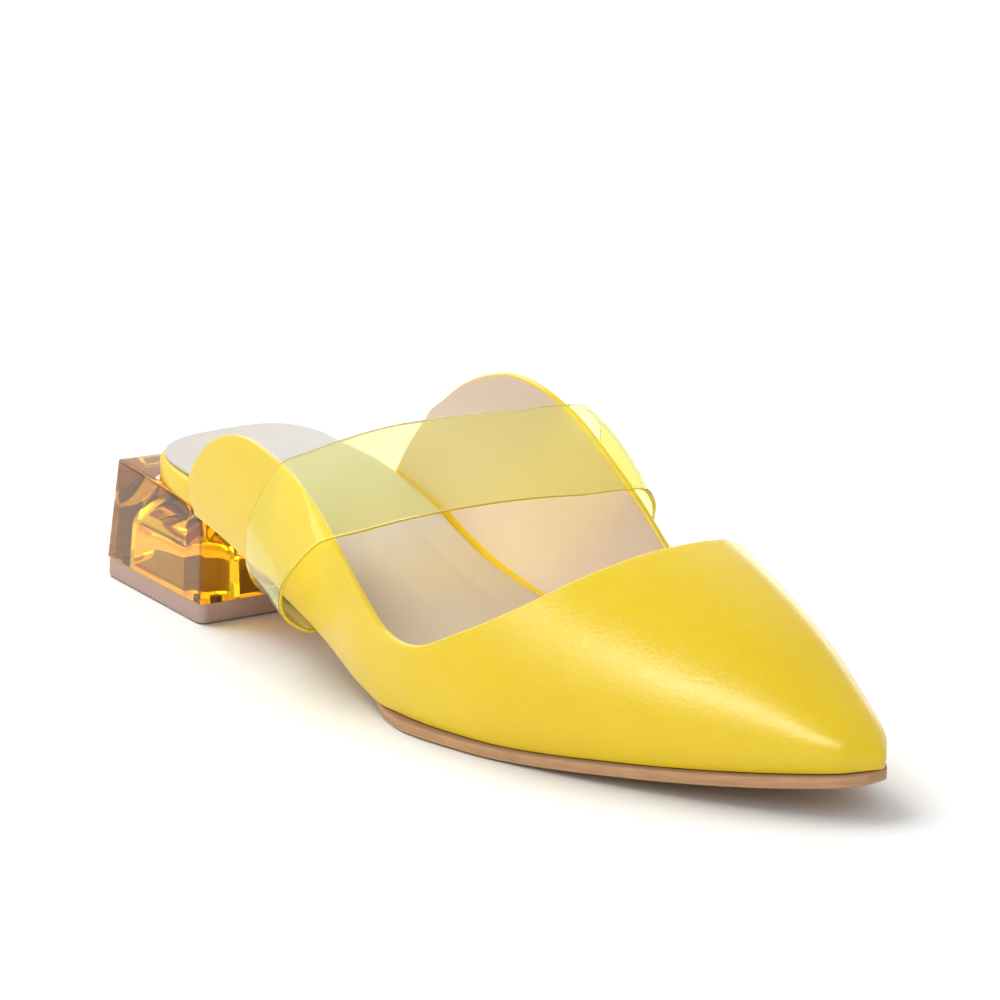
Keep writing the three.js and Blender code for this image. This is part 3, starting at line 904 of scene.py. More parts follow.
@dataclass(frozen=True)
class VinylFinish(Finish):
    """Clear tinted vinyl sheet; light passes straight through to what lies behind."""

    name: str
    tint: str
    shade: str
    lamp: str
    shade_share: float = 0.5
    roughness: float = 0.05
    gloss_spread: float = 0.04
    clear: float = 0.94
    bend: float = 1.25

    def material(self, effects: Effects) -> bpy.types.Material:
        """Builds the material.

        Args:
            effects: shared node groups.

        Returns:
            The vinyl.
        """
        material, sketch, shader, end = self.start(self.name)
        mottle = sketch.add("ShaderNodeGroup", node_tree=effects.mottle)
        share = sketch.math("MULTIPLY", mottle.outputs["Broad"], self.shade_share)
        sketch.feed(sketch.blend(share, tone(self.tint), tone(self.shade)), shader.inputs["Base Color"])
        spread = sketch.math("MULTIPLY", mottle.outputs["Fine"], self.gloss_spread)
        sketch.feed(sketch.math("ADD", spread, self.roughness), shader.inputs["Roughness"])
        shader.inputs["Transmission Weight"].default_value = self.clear
        shader.inputs["IOR"].default_value = self.bend
        sketch.let_light_through(shader, self.lamp, end)
        return material


@dataclass(frozen=True)
class ResinFinish(Finish):
    """Cast amber resin, deeper in colour where the light has further to go."""

    name: str
    amber: str
    depth: float
    lamp: str
    bloom: str
    roughness: float = 0.02
    gloss_spread: float = 0.02
    clear: float = 0.97
    bend: float = 1.47

    def material(self, effects: Effects) -> bpy.types.Material:
        """Builds the material.

        Args:
            effects: shared node groups.

        Returns:
            The resin.
        """
        material, sketch, shader, end = self.start(self.name)
        mottle = sketch.add("ShaderNodeGroup", node_tree=effects.mottle)
        spread = sketch.math("MULTIPLY", mottle.outputs["Fine"], self.gloss_spread)
        sketch.feed(sketch.math("ADD", spread, self.roughness), shader.inputs["Roughness"])
        shader.inputs["Base Color"].default_value = tone(self.bloom)
        shader.inputs["Transmission Weight"].default_value = self.clear
        shader.inputs["IOR"].default_value = self.bend
        sketch.let_light_through(shader, self.lamp, end)
        inside = sketch.add("ShaderNodeVolumeAbsorption", {"Color": tone(self.amber), "Density": self.depth})
        sketch.feed(inside.outputs[0], end.inputs["Volume"])
        return material


@dataclass(frozen=True)
class SoleFinish(Finish):
    """Leather board of the sole: stained edge with fibre streaks, a painted shadow of the gap under the upper
    along its top, and a pale bevel.
    """

    name: str
    edge: str
    fibre_and_gap_shadow: str
    pale: str
    roughness: float = 0.55
    gloss_spread: float = 0.1
    fibre_scale: float = 130.0
    fibre_rise: float = 0.03
    fibre_share: float = 0.45
    fibre_relief: float = 0.2
    fibre_deep: float = 0.0003
    pale_share: float = 0.75
    # share of the painted gap shadow along the top of the edge
    gap_shadow_share: float = 0.8

    def material(self, effects: Effects) -> bpy.types.Material:
        """Builds the material.

        Args:
            effects: shared node groups.

        Returns:
            The sole's finish.
        """
        material, sketch, shader, _ = self.start(self.name)
        level = sketch.mark("level")
        rise = sketch.math("MULTIPLY", level, self.fibre_rise)
        place = sketch.add("ShaderNodeCombineXYZ", {0: sketch.mark("along"), 1: rise}).outputs[0]
        fibre = sketch.noise(place, self.fibre_scale, 5.0).outputs["Fac"]
        mottle = sketch.add("ShaderNodeGroup", node_tree=effects.mottle)
        grainy = sketch.span(fibre, 0.3, 0.7, 0.0, self.fibre_share)
        mixed = sketch.blend(grainy, tone(self.edge), tone(self.fibre_and_gap_shadow))
        mixed = sketch.blend(sketch.span(level, 0.14, 0.26, self.pale_share, 0.0), mixed, tone(self.pale))
        # painted shadow of the gap under the upper: the top of the edge turns to the deep brown
        mixed = sketch.blend(sketch.span(level, 0.82, 0.94, 0.0, self.gap_shadow_share), mixed, tone(self.fibre_and_gap_shadow))
        sketch.feed(mixed, shader.inputs["Base Color"])
        spread = sketch.math("MULTIPLY", mottle.outputs["Fine"], self.gloss_spread)
        sketch.feed(sketch.math("ADD", spread, self.roughness), shader.inputs["Roughness"])
        sketch.relief(fibre, self.fibre_relief, self.fibre_deep, shader)
        return material


@dataclass(frozen=True)
class MouldedFinish(Finish):
    """Moulded rubber or metal of one colour with a fine speckle."""

    name: str
    colour: str
    deep: str
    roughness: float = 0.45
    metallic: float = 0.0
    speckle_scale: float = 900.0
    speckle_share: float = 0.35
    speckle_relief: float = 0.08
    speckle_deep: float = 0.0002
    gloss_spread: float = 0.1

    def material(self, effects: Effects) -> bpy.types.Material:
        """Builds the material.

        Args:
            effects: shared node groups.

        Returns:
            The moulded finish.
        """
        material, sketch, shader, _ = self.start(self.name)
        mottle = sketch.add("ShaderNodeGroup", node_tree=effects.mottle)
        mottle.inputs["Fine Scale"].default_value = self.speckle_scale
        share = sketch.math("MULTIPLY", mottle.outputs["Fine"], self.speckle_share)
        sketch.feed(sketch.blend(share, tone(self.colour), tone(self.deep)), shader.inputs["Base Color"])
        spread = sketch.math("MULTIPLY", mottle.outputs["Broad"], self.gloss_spread)
        sketch.feed(sketch.math("ADD", spread, self.roughness), shader.inputs["Roughness"])
        sketch.relief(mottle.outputs["Fine"], self.speckle_relief, self.speckle_deep, shader)
        shader.inputs["Metallic"].default_value = self.metallic
        return material


UPPER_LEATHER = LeatherFinish(
    "satin_yellow_leather", "#dabb0a", "#d6b504", "#dcc02a", grain=0.14, roughness=0.33, sheen=0.22,
    edge_mark="fold",
)
FOOTBED_LEATHER = LeatherFinish("footbed_yellow_leather", "#dcbd18", "#d5b411", "#dfc23a", roughness=0.42)
LINING_LEATHER = LeatherFinish(
    "beige_lining", "#dfccba", "#dac5b2", "#e4d3c5", cells=800.0, pores=1900.0, grain=0.07, roughness=0.5,
    band_mark="above", band="#e8c61c",
)
# the sock's fore colour is partly painted shade and bounce light; its shade is a painted shadow of the outer
# wall
SOCK_LEATHER = LeatherFinish(
    "sock_lining", "#bdb8b2", "#b8b0a8", "#c4bfba", cells=800.0, pores=1900.0, grain=0.07, roughness=0.5,
    fore="#c0ae97", shade="#8d7a5c",
)
STRAP_VINYL = VinylFinish("clear_vinyl", "#f4f6bc", "#f0e89a", "#f6f2de")
STRAP_EDGE = MouldedFinish("vinyl_cut_edge", "#eccb2c", "#e0bb1c", roughness=0.3)
HEEL_RESIN = ResinFinish("amber_resin", "#fff810", 120.0, "#fde4a4", "#ffd98c")
# the deep brown serves both the fibre streaks and the painted gap shadow along the top of the edge
SOLE_BOARD = SoleFinish("sole_board", "#b98e63", "#7d5a3e", "#cfa87c")
TIP_RUBBER = MouldedFinish("tip_rubber", "#a88d80", "#8d7368")
TIP_BED = MouldedFinish("tip_glue_bed", "#5d5426", "#463f1c", roughness=0.6)
PIN_METAL = MouldedFinish("pin_metal", "#4a3a20", "#2c2214", roughness=0.35, metallic=0.8)


def settle(piece: bpy.types.Object, node: str) -> None:
    """Makes a piece stand for a node of the part and ride with it.

    Args:
        piece: the finished piece.
        node: the node that it stands for.
    """
    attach(piece, "root")
    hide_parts(node)
    LOG.info("%s: %d faces", piece.name, len(piece.data.polygons))


@dataclass
class Upper:
    """One-piece leather upper with two wings, its folded edge and its lining, in millimetres."""

    last: Last
    throat_x: float = 199.0
    toe_x: float = 255.2
    nose_out: float = 0.9
    lean: float = 18.0
    girth: float = 95.0
    rim_out: float = 0.5
    fold_reach: float = 1.6
    band_x: float = 94.0
    band_climb: float = 0.045
    band_clear: float = 50.0
    edge_points: int = 1201
    wing_steps: int = 150
    vamp_steps: int = 46
    nose_steps: int = 6
    girth_steps: int = 40
    rim_steps: int = 7

    def folds(self, x: np.ndarray, side: Side, share: np.ndarray) -> np.ndarray:
        """Height of the soft troughs and ridges at points of one side.

        Args:
            x: places along the shoe.
            side: side of the shoe.
            share: share of the girth.

        Returns:
            How far each point lies proud.
        """
        total = np.zeros_like(x)
        for sign, x0, share0, x1, share1, width, height in UPPER_FOLDS.rows:
            if sign != side.value:
                continue
            start = np.array([x0, share0 * self.girth])
            way = np.array([x1, share1 * self.girth]) - start
            here = np.stack([x, share * self.girth], axis=-1) - start
            t = np.clip(here @ way / (way @ way), 0, 1)
            away = np.linalg.norm(here - t[..., None] * way, axis=-1)
            total += height * np.exp(-((away / width) ** 2))
        return total

    def columns(self, side: Side) -> tuple[np.ndarray, np.ndarray]:
        """Points of one side, a column for each step from the wing's end to the nose.

        Args:
            side: side of the shoe.

        Returns:
            Grid of points, and how far each lies proud of the plain form.
        """
        edge = OUTER_EDGE if side is Side.OUTER else INNER_EDGE
        marks = np.stack([edge.values("x"), np.zeros(len(edge.rows)), 100 * edge.values("share")], axis=1)
        line = Spline(marks).at(np.linspace(0, 1, self.edge_points))
        top_x, top_share = line[:, 0], np.where(line[:, 2] > 99.999, 1.0, line[:, 2] / 100)
        rim = self.last.wall_point(top_x, side, top_share)
        walked = np.concatenate([[0], np.cumsum(np.linalg.norm(np.diff(rim, axis=0), axis=1))])
        part = np.linspace(0, 1, self.wing_steps + 1)
        at_x = np.interp(part * walked[-1], walked, top_x)
        at_share = np.interp(part * walked[-1], walked, top_share)
        foot = marks[0, 0] + (self.throat_x - marks[0, 0]) * part + self.lean * part**3
        f = np.linspace(0, 1, self.girth_steps + 1)
        wing_x = foot[:, None] + (at_x - foot)[:, None] * f
        wing_share = at_share[:, None] * f
        turn = np.sin(np.linspace(0, math.pi / 2, self.vamp_steps + 1))[1:]
        ridge_x = self.throat_x + (self.toe_x - self.throat_x) * turn
        vamp_x = ridge_x[:, None] + (self.lean * (1 - turn))[:, None] * (1 - f)
        x = np.concatenate([wing_x, vamp_x])
        share = np.concatenate([wing_share, np.broadcast_to(f, vamp_x.shape)])
        points = self.last.wall_point(x, side, share)
        proud = self.folds(x, side, share)
        toe, before = points[-1], points[-5]
        ahead = (toe - before) / (toe - before)[:, :1]
        reach = self.nose_out * np.sin(math.pi * (0.2 + 0.8 * f))
        bend = toe + ahead * reach[:, None]
        bend[:, 1] = side.value * np.maximum(side.value * bend[:, 1], side.value * toe[:, 1] * 0.2)
        end = bend * (1, 0, 1)
        t = np.linspace(0, 1, self.nose_steps + 1)[1:, None, None]
        tip = toe * (1 - t) ** 2 + bend * 2 * t * (1 - t) + end * t**2
        return np.concatenate([points, tip]), np.concatenate([proud, np.zeros(tip.shape[:2])])

    def build(self, leather: bpy.types.Material, lining: bpy.types.Material) -> bpy.types.Object:
        """Makes the hollow upper with its rounded fold round the opening.

        Args:
            leather: finish outside and over the fold.
            lining: finish inside.

        Returns:
            The piece.
        """
        skin = Draft()
        for side in Side:
            grid, proud = self.columns(side)
            rim = np.zeros(grid.shape[:2])
            rim[: self.wing_steps + 1, -1] = side.value * (1 + np.arange(self.wing_steps + 1))
            skin.quads(skin.add(grid, proud=proud, rim=rim), flip=side is Side.INNER)
        points, faces, _, marks = skin.welded()
        normals = point_normals(points, faces)
        points = points + normals * marks["proud"][:, None]
        order = marks["rim"]
        outer = np.flatnonzero(order < 0)
        outer = outer[np.argsort(-order[outer])]
        inner = np.flatnonzero(order > 0)
        inner = inner[np.argsort(-order[inner])]
        line = np.concatenate([outer, inner])
        way = np.gradient(points[line], axis=0)
        away = np.cross(way, normals[line])
        away /= np.maximum(np.linalg.norm(away, axis=1, keepdims=True), 1e-9)
        away *= np.sign(away[:, 2].sum())
        points[line] -= away * self.rim_out
        made = Draft()
        wall = self.last.wall
        fold = np.exp(-self.distance_to(points, points[line]) / self.fold_reach)
        outside = made.add(points, fold=fold)
        within = points - normals * wall
        inside = made.add(within, above=self.above_footbed(within))
        made.faces += [[int(outside[c]) for c in f] for f in faces]
        made.slots += [0] * len(faces)
        made.faces += [[int(inside[c]) for c in reversed(f)] for f in faces]
        made.slots += [1] * len(faces)
        turn = np.linspace(0, math.pi, self.rim_steps + 1)[1:-1]
        rows = [outside[line]]
        for angle in turn:
            over = normals[line] * (wall / 2) * (math.cos(angle) - 1) + away * self.rim_out * math.sin(angle)
            rows.append(made.add(points[line] + over, fold=1.0))
        rows.append(inside[line])
        made.quads(np.array(rows), 0, flip=True)
        self.close(made, faces, outside, inside, line, rows)
        return made.piece("upper_shell", [leather, lining], sharp=60.0)

    def above_footbed(self, points: np.ndarray) -> np.ndarray:
        """Height of points over the coloured band's line along the footbed.

        Args:
            points: rows of x, y, z.

        Returns:
            Heights in metres, well clear of the band on the outer side.
        """
        edge = self.last.insole_edge(points[:, 0], Side.INNER)
        height = points[:, 2] - self.last.footbed_top(points[:, 0], edge)
        height -= self.band_climb * np.maximum(points[:, 0] - self.band_x, 0)
        return np.where(points[:, 1] > 0, height, self.band_clear) * MM

    @staticmethod
    def distance_to(points: np.ndarray, line: np.ndarray) -> np.ndarray:
        """Distance of each point to the nearest of a line's points.

        Args:
            points: rows of x, y, z.
            line: the line's points.

        Returns:
            One distance for each point.
        """
        best = np.full(len(points), np.inf)
        for part in np.array_split(line, max(1, len(line) // 40)):
            gaps = np.linalg.norm(points[:, None] - part[None], axis=-1).min(axis=1)
            best = np.minimum(best, gaps)
        return best

    @staticmethod
    def close(
        made: Draft,
        faces: Sequence[Sequence[int]],
        outside: np.ndarray,
        inside: np.ndarray,
        line: np.ndarray,
        rows: Sequence[np.ndarray],
    ) -> None:
        """Closes the wall along the feather edge and at the wings' ends.

        Args:
            made: the draft to close.
            faces: faces of the plain skin.
            outside: point numbers of the outer surface.
            inside: point numbers of the inner surface.
            line: points of the opening's edge.
            rows: point numbers round the fold, from outside to inside.
        """
        edges = {(f[i], f[(i + 1) % len(f)]) for f in faces for i in range(len(f))}
        rim = {(int(a), int(b)) for a, b in zip(line[:-1], line[1:])}
        rim |= {(b, a) for a, b in rim}
        for a, b in sorted(edges):
            if (b, a) in edges or (a, b) in rim:
                continue
            made.faces.append([int(outside[b]), int(outside[a]), int(inside[a]), int(inside[b])])
            made.slots.append(0)
        for end in (0, -1):
            made.faces.append([int(row[end]) for row in (reversed(rows) if end else rows)])
            made.slots.append(0)


@dataclass
class Footbed:
    """Footbed wrapped in leather and the sock glued on it, in millimetres."""

    last: Last
    blunt: float = 0.004
    tip_x: float = 248.5
    edge_round: float = 1.9
    sock_inset: float = 2.3
    sock_wall_inset: float = 1.0
    wall_from_x: float = 70.0
    wall_to_x: float = 100.0
    sock_gap: float = 0.35
    sock_thick: float = 0.8
    sock_tip_x: float = 236.0
    steps: int = 150
    across: int = 48
    seam_share: float = 0.60
    seam_width: float = 2.2
    seam_depth: float = 0.28
    seam_start_x: float = 70.0
    seam_end_x: float = 158.0
    seam_fade: float = 15.0

    def build_insole(self, leather: bpy.types.Material) -> bpy.types.Object:
        """Makes the wrapped footbed.

        Args:
            leather: finish of the wrap.

        Returns:
            The piece.
        """
        last = self.last
        xs = spacing(last.seat_back_x + self.blunt, self.tip_x, self.steps)
        outer, inner = (np.stack([xs, last.insole_edge(xs, side)], axis=1) for side in Side)

        def base(inset: float, lift: float) -> Layer:
            """Ring near the underside."""
            return Layer(inset, lambda x, y: last.feather(x) + lift)

        def top(angle: float) -> Layer:
            """Ring on the rounded top edge.

            Args:
                angle: how far round the edge, 0 at its side.

            Returns:
                The ring.
            """
            inset = self.edge_round * (1 - math.cos(angle))
            drop = self.edge_round * (1 - math.sin(angle))
            return Layer(inset, lambda x, y: last.footbed_top(x, y) - drop)

        layers = [base(0.5, 0.0), base(0.1, 0.2), base(0.0, 0.6)]
        layers += [top(a) for a in np.linspace(0, math.pi / 2, 7)]
        return PlanPiece(outer, inner, layers, self.across).draft().piece("footbed_wrap", [leather])

    def seam(self, x: np.ndarray, y: np.ndarray) -> np.ndarray:
        """Depth of the soft line that runs along the sock's inner margin.

        Args:
            x: places along the shoe.
            y: places across it.

        Returns:
            The depth at each place.
        """
        outer, inner = (self.last.insole_edge(x, side) for side in Side)
        middle, half = (outer + inner) / 2, np.maximum((inner - outer) / 2, 1e-6)
        away = (y - middle) - self.seam_share * half
        rear = np.clip((x - self.seam_start_x) / self.seam_fade, 0, 1)
        front = np.clip((self.seam_end_x - x) / self.seam_fade, 0, 1)
        return self.seam_depth * rear * front * np.exp(-((away / self.seam_width) ** 2))

    def build_sock(self, lining: bpy.types.Material) -> bpy.types.Object:
        """Makes the thin sock on the footbed.

        Args:
            lining: finish of the sock.

        Returns:
            The piece.
        """
        last = self.last
        reach = last.seat_centre_x - last.seat_back_x
        xs = spacing(last.seat_back_x + self.sock_inset + self.blunt, self.sock_tip_x, self.steps)

        def edge(side: Side) -> np.ndarray:
            """Plan edge of the sock.

            Args:
                side: side of the shoe.

            Returns:
                Rows of x, y from heel to toe.
            """
            back = np.minimum(0, (xs - last.seat_centre_x) / (reach - self.sock_inset))
            source = np.where(xs < last.seat_centre_x, last.seat_centre_x + back * reach, xs)
            share = np.clip((xs - self.wall_from_x) / (self.wall_to_x - self.wall_from_x), 0, 1)
            wider = share * share * (3 - 2 * share) * (side is Side.INNER)
            inset = self.sock_inset + (self.sock_wall_inset - self.sock_inset) * wider
            return np.stack([xs, last.insole_edge(source, side) - side.value * inset * (1 + back)], axis=1)

        def lift(inset: float, up: float) -> Layer:
            """Ring above the footbed."""
            return Layer(inset, lambda x, y: last.footbed_top(x, y) + self.sock_gap + up - self.seam(x, y))

        thick = self.sock_thick
        layers = [lift(0.0, 0.0), lift(0.0, thick * 0.55), lift(0.12, thick * 0.85), lift(0.4, thick)]
        plan = PlanPiece(edge(Side.OUTER), edge(Side.INNER), layers, self.across)
        return plan.draft().piece("sock_sheet", [lining])


@dataclass
class Outsole:
    """Thin leather sole with its arch and toe spring, in millimetres."""

    last: Last
    thick: float = 3.0
    bevel: float = 0.7
    gap: float = 0.3
    tip_x: float = 254.8
    heel_front: float = 55.6
    breast: float = 2.1
    heel_turn: float = math.radians(-7.38)
    steps: int = 160
    across: int = 10

    def build(self, board: bpy.types.Material) -> bpy.types.Object:
        """Makes the sole.

        Args:
            board: finish of the sole.

        Returns:
            The piece.
        """
        last = self.last

        def edge(side: Side, near: float) -> np.ndarray:
            """Plan edge of the sole, from the heel's breast to the toe.

            Args:
                side: side of the shoe.
                near: place near the breast, where the sole's width sets how far back the edge starts.

            Returns:
                Rows of x, y from the breast to the toe.
            """
            y = last.feather_inset(np.array(near), side, -last.profile["sole_out"](near))
            start = (self.heel_front - self.breast - y * math.sin(self.heel_turn)) / math.cos(self.heel_turn)
            xs = spacing(float(start), self.tip_x, self.steps)
            return np.stack([xs, last.feather_inset(xs, side, -last.profile["sole_out"](xs))], axis=1)

        def deep(inset: float, drop: float) -> Layer:
            """Ring below the feather edge."""
            return Layer(inset, lambda x, y: last.feather(x) - self.gap - drop, 1 - drop / self.thick)

        layers = [
            deep(self.bevel, self.thick),
            deep(self.bevel * 0.3, self.thick - self.bevel * 0.3),
            deep(0.0, self.thick - self.bevel),
            deep(0.0, self.thick * 0.5),
            deep(0.0, 0.35),
            deep(0.12, 0.1),
            deep(0.35, 0.0),
        ]
        plan = PlanPiece(edge(Side.OUTER, 50.0), edge(Side.INNER, 56.0), layers, self.across)
        return plan.draft().piece("sole_board_edge", [board], sharp=50.0)


@dataclass
class Heel:
    """Cast resin heel block, the pins inside it and the rubber tip below, in millimetres.

    A bevel's rows give how far in and how far up each ring lies, and the tip's rings how far in and how high.
    """

    last: Last
    turn: float = math.radians(-7.38)
    back: float = -1.0
    front: float = 55.6
    outer_y: float = -28.3
    inner_y: float = 27.4
    flare: float = 2.8
    tip_thick: float = 5.0
    flat_gap: float = 0.1
    gap: float = 0.3
    block_corner: float = 1.2
    tip_corner: float = 2.6
    corner_steps: int = 8
    side_steps: int = 24
    block_inset: float = 0.2
    foot_bevel: tuple[tuple[float, float], ...] = ((0.25, 0.0), (0.07, 0.07), (0.0, 0.25))
    top_bevel: tuple[tuple[float, float], ...] = ((0.0, -0.3), (0.09, -0.09), (0.3, 0.0))
    side_shares: tuple[float, ...] = (0.33, 0.67)
    top_shares: tuple[float, ...] = (0.94, 0.8, 0.6, 0.4, 0.2, 0.05)
    tip_rings: tuple[tuple[float, float], ...] = (
        (0.5, 0.0), (0.15, 0.15), (0.0, 0.5), (0.1, 2.5), (0.2, 4.6), (0.27, 4.88), (0.5, 5.0),
    )
    wall_thick: float = 5.0
    post_inset: float = 1.0
    post_radius: float = 7.0
    hollow_high: float = 16.5
    hollow_draw: float = 0.3
    dome: float = 9.0
    dome_share: float = 0.72
    dome_steps: int = 12
    pin_inset: float = 7.0
    pin_sides: int = 16
    pin_radius: float = 1.6
    pin_length: float = 0.2

    def outline(self, corner: float, inset: float = 0.0) -> tuple[np.ndarray, np.ndarray]:
        """Rounded rectangle of the heel in plan, turned to the line of the seat.

        Args:
            corner: radius of the upright corners.
            inset: how far all four sides stand in.

        Returns:
            The outer and the inner side, each from back to front.
        """
        inset += corner
        box = (
            (self.back + inset, self.outer_y + inset, 180),
            (self.front - inset, self.outer_y + inset, 270),
            (self.front - inset, self.inner_y - inset, 0),
            (self.back + inset, self.inner_y - inset, 90),
        )
        points = []
        for cx, cy, start in box:
            for i in range(self.corner_steps + 1):
                angle = math.radians(start + 90 * i / self.corner_steps)
                points.append((cx + corner * math.cos(angle), cy + corner * math.sin(angle)))
        half = self.corner_steps // 2
        lined = np.roll(np.array(points), -half, axis=0)
        c, s = math.cos(self.turn), math.sin(self.turn)
        turned = lined @ np.array([[c, s], [-s, c]])
        middle = len(turned) // 2
        return turned[:middle], turned[middle:][::-1]

    def rim(self, inset: float = 0.0) -> np.ndarray:
        """Plan of the block as one ring, with points along its straight sides too.

        Args:
            inset: how far all four sides stand in.

        Returns:
            Rows of x, y, counted the way the block's sides run.
        """
        outer, inner = self.outline(self.block_corner, inset)
        ring = np.concatenate([outer, inner[::-1]])
        after = np.roll(ring, -1, axis=0)
        share = np.arange(self.side_steps)[:, None] / self.side_steps
        parts = []
        for here, there in zip(ring, after):
            long = np.linalg.norm(there - here) > 5
            parts.append(here + (there - here) * share if long else here[None])
        return np.concatenate(parts)

    def hollow_plan(self, ring: np.ndarray, shrink: float) -> np.ndarray:
        """Plan of the hollow: walls of even thickness with a round post in each corner.

        Args:
            ring: plan of the block, whose points the hollow's points face.
            shrink: how far the walls and posts close in.

        Returns:
            Rows of x, y, one for each point of the block's ring.
        """
        c, s = math.cos(self.turn), math.sin(self.turn)
        spin = np.array([[c, -s], [s, c]])
        centre = np.array([(self.back + self.front) / 2, (self.outer_y + self.inner_y) / 2])
        local = ring @ spin - centre
        way = local / np.linalg.norm(local, axis=1, keepdims=True)
        half = np.array([self.front - self.back, self.inner_y - self.outer_y]) / 2 - self.wall_thick - shrink
        reach = np.min(half / np.maximum(np.abs(way), 1e-6), axis=1)
        post = np.abs(half) + shrink - self.post_inset
        toward = np.abs(way) @ post
        apart = post @ post - toward**2
        radius = self.post_radius + shrink
        hit = toward - np.sqrt(np.maximum(radius**2 - apart, 0))
        reach = np.where((apart < radius**2) & (hit > 0), np.minimum(reach, hit), reach)
        return (way * reach[:, None] + centre) @ spin.T

    def build_block(self, resin: bpy.types.Material) -> bpy.types.Object:
        """Makes the clear block with small bevels on its edges and the hollow that its tip closes.

        Args:
            resin: finish of the block.

        Returns:
            The piece.
        """
        low = self.tip_thick + self.flat_gap
        ring = self.rim()
        made = Draft()

        def outside(share: float, extra: float, lift: float) -> np.ndarray:
            """Ring of the outside.

            Args:
                share: share of the block's height.
                extra: how far the ring stands in for a bevel.
                lift: how far it stands up for a bevel.

            Returns:
                The ring's point numbers.
            """
            plan = self.rim(self.block_inset + self.flare * share + extra)
            height = low + (self.last.feather(plan[:, 0]) - self.gap - low) * share + lift
            return made.add(np.column_stack([plan, height]), level=share)

        def inside(shrink: float, share: float, height: float) -> np.ndarray:
            """Ring of the hollow.

            Args:
                shrink: how far the walls and posts close in.
                share: share of the plan that the ring is drawn in to.
                height: height above the block's foot.

            Returns:
                The ring's point numbers.
            """
            plan = self.hollow_plan(ring, shrink)
            middle = plan.mean(axis=0)
            plan = middle + (plan - middle) * share
            return made.add(np.column_stack([plan, np.full(len(plan), low + height)]), level=0.0)

        walls = [outside(0, extra, lift) for extra, lift in self.foot_bevel]
        walls += [outside(share, 0, 0) for share in self.side_shares]
        walls += [outside(1, extra, lift) for extra, lift in self.top_bevel]
        hollow = [inside(0, 1, 0), inside(self.hollow_draw / 2, 1, (self.hollow_high - self.dome) / 2)]
        for angle in np.linspace(0, math.pi / 2, self.dome_steps + 1):
            share = 1 - self.dome_share * (1 - math.cos(angle))
            height = self.hollow_high - self.dome * (1 - math.sin(angle))
            hollow.append(inside(self.hollow_draw, share, height))
        top = self.rim(self.block_inset + self.flare + self.top_bevel[-1][0])
        middle = top.mean(axis=0)
        for share in self.top_shares:
            plan = middle + (top - middle) * share
            height = self.last.feather(plan[:, 0]) - self.gap
            walls.append(made.add(np.column_stack([plan, height]), level=1.0))
        made.quads(np.array(walls), flip=True, closed=True)
        made.quads(np.array(hollow), closed=True)
        made.quads(np.array([walls[0], hollow[0]]), closed=True)
        for loop in (walls[-1].tolist(), hollow[-1][::-1].tolist()):
            made.faces.append(loop)
            made.slots.append(0)
        return made.piece("resin_block", [resin], sharp=25.0)

    def build_pins(self, metal: bpy.types.Material) -> bpy.types.Object:
        """Makes the flat ends of the pins that hold the tip, one at the foot of each post, by a node tree.

        Args:
            metal: finish of the pins.

        Returns:
            The piece.
        """
        c, s = math.cos(self.turn), math.sin(self.turn)
        spin = np.array([[c, -s], [s, c]])
        centre = np.array([(self.back + self.front) / 2, (self.outer_y + self.inner_y) / 2])
        half = np.array([self.front - self.back, self.inner_y - self.outer_y]) / 2 - self.pin_inset
        height = self.tip_thick + self.flat_gap + self.pin_length / 2
        places = []
        for sx, sy in ((-1, -1), (1, -1), (1, 1), (-1, 1)):
            x, y = (half * (sx, sy) + centre) @ spin.T
            places.append(((x - ORIGIN[0]) * MM, (y - ORIGIN[1]) * MM, height * MM))
        tree = bpy.data.node_groups.new("pins_in_posts", "GeometryNodeTree")
        tree.interface.new_socket("Geometry", in_out="OUTPUT", socket_type="NodeSocketGeometry")
        tree.interface.new_socket("Places", in_out="INPUT", socket_type="NodeSocketGeometry")
        radius = tree.interface.new_socket("Radius", in_out="INPUT", socket_type="NodeSocketFloat")
        length = tree.interface.new_socket("Length", in_out="INPUT", socket_type="NodeSocketFloat")
        finish = tree.interface.new_socket("Finish", in_out="INPUT", socket_type="NodeSocketMaterial")
        sketch = Sketch(tree)
        ends = sketch.add("NodeGroupInput").outputs
        points = sketch.add("GeometryNodeMeshToPoints", {"Mesh": ends["Places"]}).outputs[0]
        pin = sketch.add("GeometryNodeMeshCylinder", {"Radius": ends["Radius"], "Depth": ends["Length"]})
        pin.inputs["Vertices"].default_value = self.pin_sides
        copies = {"Points": points, "Instance": pin.outputs["Mesh"]}
        placed = sketch.add("GeometryNodeInstanceOnPoints", copies).outputs[0]
        solid = sketch.add("GeometryNodeRealizeInstances", {0: placed}).outputs[0]
        dress = {"Geometry": solid, "Material": ends["Finish"]}
        dressed = sketch.add("GeometryNodeSetMaterial", dress).outputs[0]
        sketch.add("NodeGroupOutput", {"Geometry": dressed})
        seeds = bpy.data.meshes.new("pin_places")
        seeds.from_pydata(places, [], [])
        holder = bpy.data.objects.new("pin_places", seeds)
        bpy.context.scene.collection.objects.link(holder)
        grown = holder.modifiers.new("pins", "NODES")
        grown.node_group = tree
        grown[radius.identifier] = self.pin_radius * MM
        grown[length.identifier] = self.pin_length * MM
        grown[finish.identifier] = metal
        graph = bpy.context.evaluated_depsgraph_get()
        mesh = bpy.data.meshes.new_from_object(holder.evaluated_get(graph), depsgraph=graph)
        bpy.data.objects.remove(holder)
        pins = bpy.data.objects.new("post_pins", mesh)
        bpy.context.scene.collection.objects.link(pins)
        return pins

    def build_tip(self, rubber: bpy.types.Material, bed: bpy.types.Material) -> bpy.types.Object:
        """Makes the rubber tip that the heel stands on.

        Args:
            rubber: finish of the tip.
            bed: finish of its top, glued to the block and seen through it.

        Returns:
            The piece.
        """

